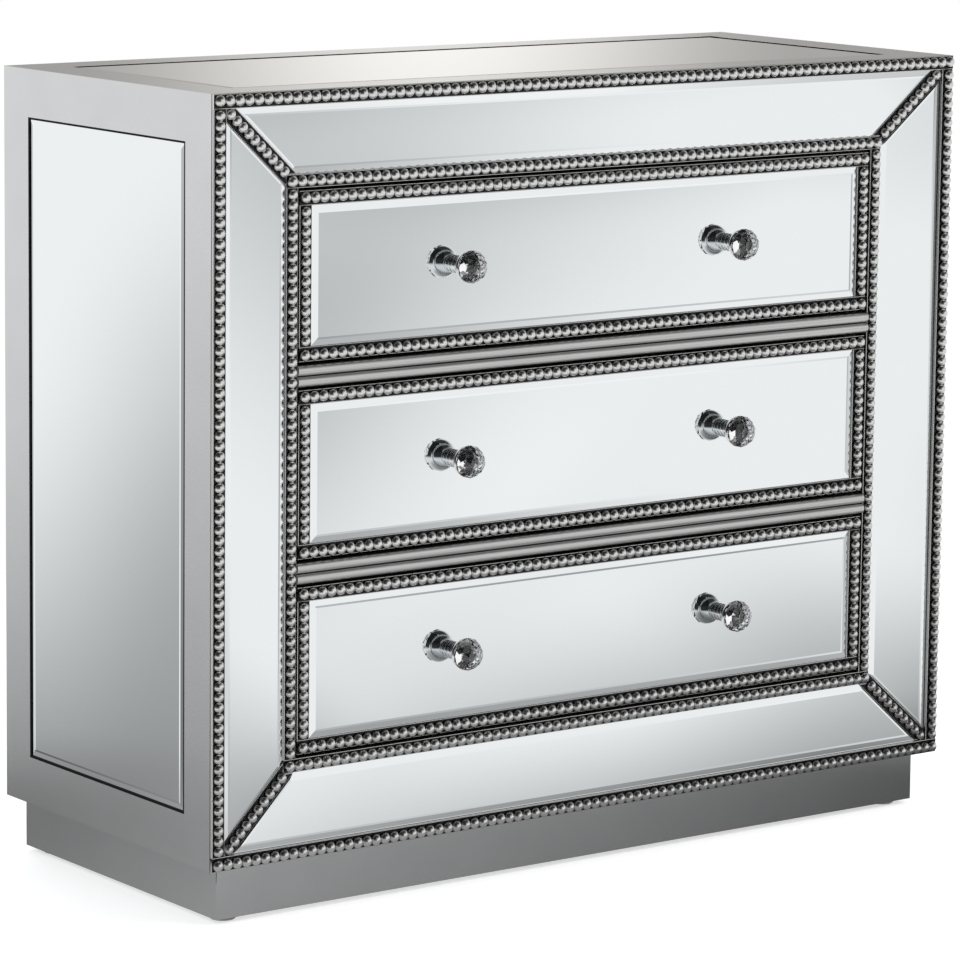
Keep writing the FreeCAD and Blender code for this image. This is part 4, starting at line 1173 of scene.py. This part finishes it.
def screw_mesh(head_height, shank_length):
    """A screw that points down from its head's seat, with a cross recess."""
    tip_angle, tip = math.atan2(CROSS_HALF, CROSS_REACH), math.hypot(CROSS_REACH, CROSS_HALF)
    arm = ((-tip_angle, tip), (tip_angle, tip), (math.pi / 4, CROSS_HALF * math.sqrt(2)))
    cross = [(quarter * math.pi / 2 + angle, radius) for quarter in range(4) for angle, radius in arm]
    shank, head = SCREW_SHANK / 2, SCREW_HEAD_WIDTH / 2
    stack = [([radius] * len(cross), level) for radius, level in (
        (shank * TIP_WIDTH, -shank_length), (shank, -shank_length * TIP_FROM), (shank, 0.0),
        (head, 0.0), *((head * width, head_height * part) for width, part in HEAD_DOME))]
    stack += [([radius * share for _, radius in cross], head_height * part)
              for share, part in ((1.0, 1.0), (CROSS_TAPER, CROSS_FLOOR))]
    shape = new_shape()
    join_rings(shape, [add_ring(shape, [
        (radius * math.cos(angle), radius * math.sin(angle), level)
        for radius, (angle, _) in zip(radii, cross)]) for radii, level in stack])
    return finished(shape, "screw", SCREW_SMOOTH)


# %% [markdown]
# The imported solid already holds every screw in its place, so each is read from there: the
# solid falls apart into separate bodies, and a body's longest side gives its direction.

# %% Where the screws are, and which way they face
RIM_FROM = 0.9                # share of the head's radius past which a corner is on its rim


def separate_bodies(node):
    """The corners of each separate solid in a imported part."""
    shape = bmesh.new()
    shape.from_mesh(frame["nodes"][node].data)
    bmesh.ops.remove_doubles(shape, verts=shape.verts, dist=SAME_CORNER)
    left = set(shape.verts)
    found = []
    while left:
        group, edge = set(), [left.pop()]
        while edge:
            vertex = edge.pop()
            group.add(vertex)
            for near in vertex.link_edges:
                other = near.other_vert(vertex)
                if other in left:
                    left.discard(other)
                    edge.append(other)
        found.append([vertex.co.copy() for vertex in group])
    shape.free()
    return found


def screw_seat(corners):
    """A screw's seat: its place, the way its head faces, and the head's and shank's lengths."""
    low = [min(corner[i] for corner in corners) for i in range(3)]
    high = [max(corner[i] for corner in corners) for i in range(3)]
    spans = [high[i] - low[i] for i in range(3)]
    axis = spans.index(max(spans))
    place = [(low[i] + high[i]) / 2 for i in range(3)]
    beside = (axis + 1) % 3
    rim = [corner[axis] for corner in corners
           if abs(corner[beside] - place[beside]) > SCREW_HEAD_WIDTH / 2 * RIM_FROM]
    facing = [0.0, 0.0, 0.0]
    facing[axis] = 1.0 if sum(rim) / len(rim) > place[axis] else -1.0
    place[axis] = min(rim) if facing[axis] > 0 else max(rim)
    head = max(rim) - min(rim)
    return {"place": tuple(place), "facing": facing, "head": head, "shank": spans[axis] - head}


seats = sorted((screw_seat(corners) for corners in separate_bodies("case_screws")),
               key=lambda seat: seat["place"])     # a set has no order of its own
print("screws in the case:", len(seats), "heads", sorted({round(1000 * s["head"], 2) for s in seats}))

# %% [markdown]
# Geometry Nodes put one screw on each point of a cloud, turned to the direction that the
# point carries.  Each is driven home by a different amount, so its cross is turned at
# random, with a fixed seed.

# %% The screws, as Geometry Nodes
screws_on_points, given = new_group("screws_on_points", "GeometryNodeTree", (
    ("Geometry", "Geometry"), ("Screw", "Object"), ("Finish", "Material"), ("Size", "Float"),
    ("Seed", "Int")), ("Geometry", "Geometry"))
model = add_node(screws_on_points, "GeometryNodeObjectInfo", {"Object": given["Screw"]})
facing = add_node(screws_on_points, "GeometryNodeInputNamedAttribute", {"Name": "facing"},
                  data_type="FLOAT_VECTOR")
driven = add_node(screws_on_points, "FunctionNodeRandomValue", {
    "Max": 2 * math.pi, "Seed": given["Seed"]}, data_type="FLOAT")
aimed = add_node(screws_on_points, "FunctionNodeAlignRotationToVector", {"Vector": facing}, axis="Z")
spin = add_node(screws_on_points, "FunctionNodeAxisAngleToRotation", {"Angle": driven})
turned = add_node(screws_on_points, "FunctionNodeRotateRotation", {0: aimed, 1: spin},
                  rotation_space="LOCAL")
placed = add_node(screws_on_points, "GeometryNodeInstanceOnPoints", {
    "Points": given["Geometry"], "Instance": model.outputs["Geometry"], "Rotation": turned,
    "Scale": given["Size"]})
real = add_node(screws_on_points, "GeometryNodeRealizeInstances", {0: placed})
finish = add_node(screws_on_points, "GeometryNodeSetMaterial", {
    "Geometry": real, "Material": given["Finish"]})
add_node(screws_on_points, "NodeGroupOutput", {0: finish})


def lay_screws(name, chosen, seed):
    """Screws on the chosen seats, as one piece."""
    cloud = bpy.data.meshes.new(name)
    cloud.from_pydata([seat["place"] for seat in chosen], [], [])
    facing = cloud.attributes.new("facing", "FLOAT_VECTOR", "POINT")
    for point, seat in zip(facing.data, chosen):
        point.vector = seat["facing"]
    one = bpy.data.objects.new("one_screw", screw_mesh(chosen[0]["head"], chosen[0]["shank"]))
    piece = new_object(name, cloud)
    add_layer(piece, screws_on_points, {"Screw": one, "Finish": zinc, "Size": 1.0, "Seed": seed})
    show(baked(piece), name, "case", "screw_steel", "case_screws")
    bpy.data.objects.remove(one)


lay_screws("back_screws", [seat for seat in seats if seat["facing"][1]], 5)
lay_screws("slide_screws", [seat for seat in seats if seat["facing"][0]], 6)

# %% [markdown]
# ## Knobs
#
# Each knob is a turned and chromed post with two rings at its foot and a cup that holds a
# cut crystal.  A lathe makes the post, so here its outline is turned round an axis too.
# The crystal has five rings of corners, each turned half a facet from the last, so every
# facet is a flat triangle, as a glass cutter grinds them.

# %% The outlines of post and crystal
KNOB_LENGTH = mm(39)
FOOT, NECK = mm(19) / 2, mm(12) / 2
GROOVE = FOOT - mm(1.7)
RINGS, RING_PITCH, RING_STEPS = 2, mm(5.4), 8
RING_FULLNESS = 0.7           # a power: under 1, a ring is fuller than a sine wave
CUP_OUT, CUP_UP = 1.1, 0.9    # and for the cup's curve
CUP_FLARE, CUP_REACH, CUP_WALL, CUP_STEPS = mm(6.7), 0.33, mm(0.7), 16
CRYSTAL_RADIUS, CRYSTAL_FACETS = mm(17), 12
CRYSTAL_DEPTHS = (0.0, 0.2, 0.47, 0.76, 1.0)      # where its rings are, as shares of its depth
CRYSTAL_RADII = (0.6, 0.88, 1.0, 0.83, 0.43)      # and how wide, as shares of its radius
NECK_START = RINGS * RING_PITCH
CRYSTAL_START = NECK_START + CUP_FLARE
CRYSTAL_DEPTH = KNOB_LENGTH - CRYSTAL_START
SEAT_GAP = mm(0.15)


def crystal_radius_at(share):
    """The crystal's radius at a share of its depth."""
    stops = list(zip(CRYSTAL_DEPTHS, CRYSTAL_RADII))
    for (depth, radius), (next_depth, next_radius) in zip(stops, stops[1:]):
        if share <= next_depth:
            part = (share - depth) / (next_depth - depth)
            return CRYSTAL_RADIUS * (radius + (next_radius - radius) * part)


def post_profile():
    """The post's outline from the foot's middle to the cup's, as (radius, length) points."""
    points = [(0.0, 0.0)]
    for ring in range(RINGS):
        for step in range(RING_STEPS + 1):
            share = step / RING_STEPS
            bulge = math.sin(math.pi * share) ** RING_FULLNESS
            points.append((GROOVE + (FOOT - GROOVE) * bulge, (ring + share) * RING_PITCH))
    rim = crystal_radius_at(CUP_REACH) + CUP_WALL
    bowl = CUP_FLARE + CUP_REACH * CRYSTAL_DEPTH
    for step in range(CUP_STEPS + 1):
        angle = step / CUP_STEPS * math.pi / 2
        points.append((NECK + (rim - NECK) * math.sin(angle) ** CUP_OUT,
                       NECK_START + bowl * (1 - math.cos(angle)) ** CUP_UP))
    points.append((rim - CUP_WALL, CRYSTAL_START + CUP_REACH * CRYSTAL_DEPTH))
    for share in (CRYSTAL_DEPTHS[1], 0.0):
        points.append((crystal_radius_at(share), CRYSTAL_START + share * CRYSTAL_DEPTH))
    points.append((0.0, CRYSTAL_START))
    return points


print("post outline:", len(post_profile()), "points; crystal", round(1000 * CRYSTAL_DEPTH, 1), "mm deep")

# %% Turn the posts and cut the crystals
POST_SEGMENTS, SCREW_SEGMENTS = 40, 20
KNOB_SMOOTH = 35              # degrees
KNOB_SCREW = [(mm(radius), mm(length)) for radius, length in (
    (0.0, 0.0), (4, 0.0), (4, 0.9), (3.6, 1.6), (2.6, 2.2), (1.2, 2.5), (0.9, 1.2), (0.0, 1.2))]


def add_turned(shape, middle, profile, forward=1, segments=POST_SEGMENTS):
    """Turns a profile round an axis that runs straight forwards, or back, from middle."""
    rings = []
    for radius, length in profile:
        angles = [2 * math.pi * i / segments for i in range(segments if radius > 0 else 1)]
        rings.append(add_ring(shape, [middle + Vector((
            radius * math.cos(angle), -forward * length, radius * math.sin(angle)))
            for angle in angles]))
    join_rings(shape, rings)


def add_crystal(shape, middle):
    """The faceted crystal in front of a knob's foot, a hair clear of its seat."""
    rings = []
    for number, (share, part) in enumerate(zip(CRYSTAL_DEPTHS, CRYSTAL_RADII)):
        radius = CRYSTAL_RADIUS * part - (SEAT_GAP if share < CUP_REACH else 0.0)
        length = CRYSTAL_START + CRYSTAL_DEPTH * share + (SEAT_GAP if number == 0 else 0.0)
        angles = [2 * math.pi * (i + number / 2) / CRYSTAL_FACETS for i in range(CRYSTAL_FACETS)]
        rings.append(add_ring(shape, [middle + Vector((
            radius * math.cos(angle), -length, -radius * math.sin(angle))) for angle in angles]))
    shape.faces.new(rings[0])
    shape.faces.new(rings[-1])
    for near, far in zip(rings, rings[1:]):
        for i in range(CRYSTAL_FACETS):
            j = (i + 1) % CRYSTAL_FACETS
            shape.faces.new([near[i], near[j], far[i]])
            shape.faces.new([near[j], far[j], far[i]])


for drawer in DRAWERS:
    body = drawer + "_drawer"
    low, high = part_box(body + "_knob_crystals")
    level = (low.z + high.z) / 2
    posts, crystals = new_shape(), new_shape()
    for x in (low.x + CRYSTAL_RADIUS, high.x - CRYSTAL_RADIUS):
        foot = Vector((x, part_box(body + "_mirror")[0].y, level))
        add_turned(posts, foot, post_profile())
        add_turned(posts, Vector((x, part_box(body + "_front")[1].y, level)), KNOB_SCREW, -1,
                   SCREW_SEGMENTS)
        add_crystal(crystals, foot)
    show(finished(posts, drawer + "_knob_posts", KNOB_SMOOTH), drawer + "_knob_posts_turned", body,
         "knob_chrome", body + "_knob_posts")
    show(finished(crystals, drawer + "_knob_crystals"), drawer + "_knob_crystals_cut", body,
         "knob_crystal", body + "_knob_crystals")
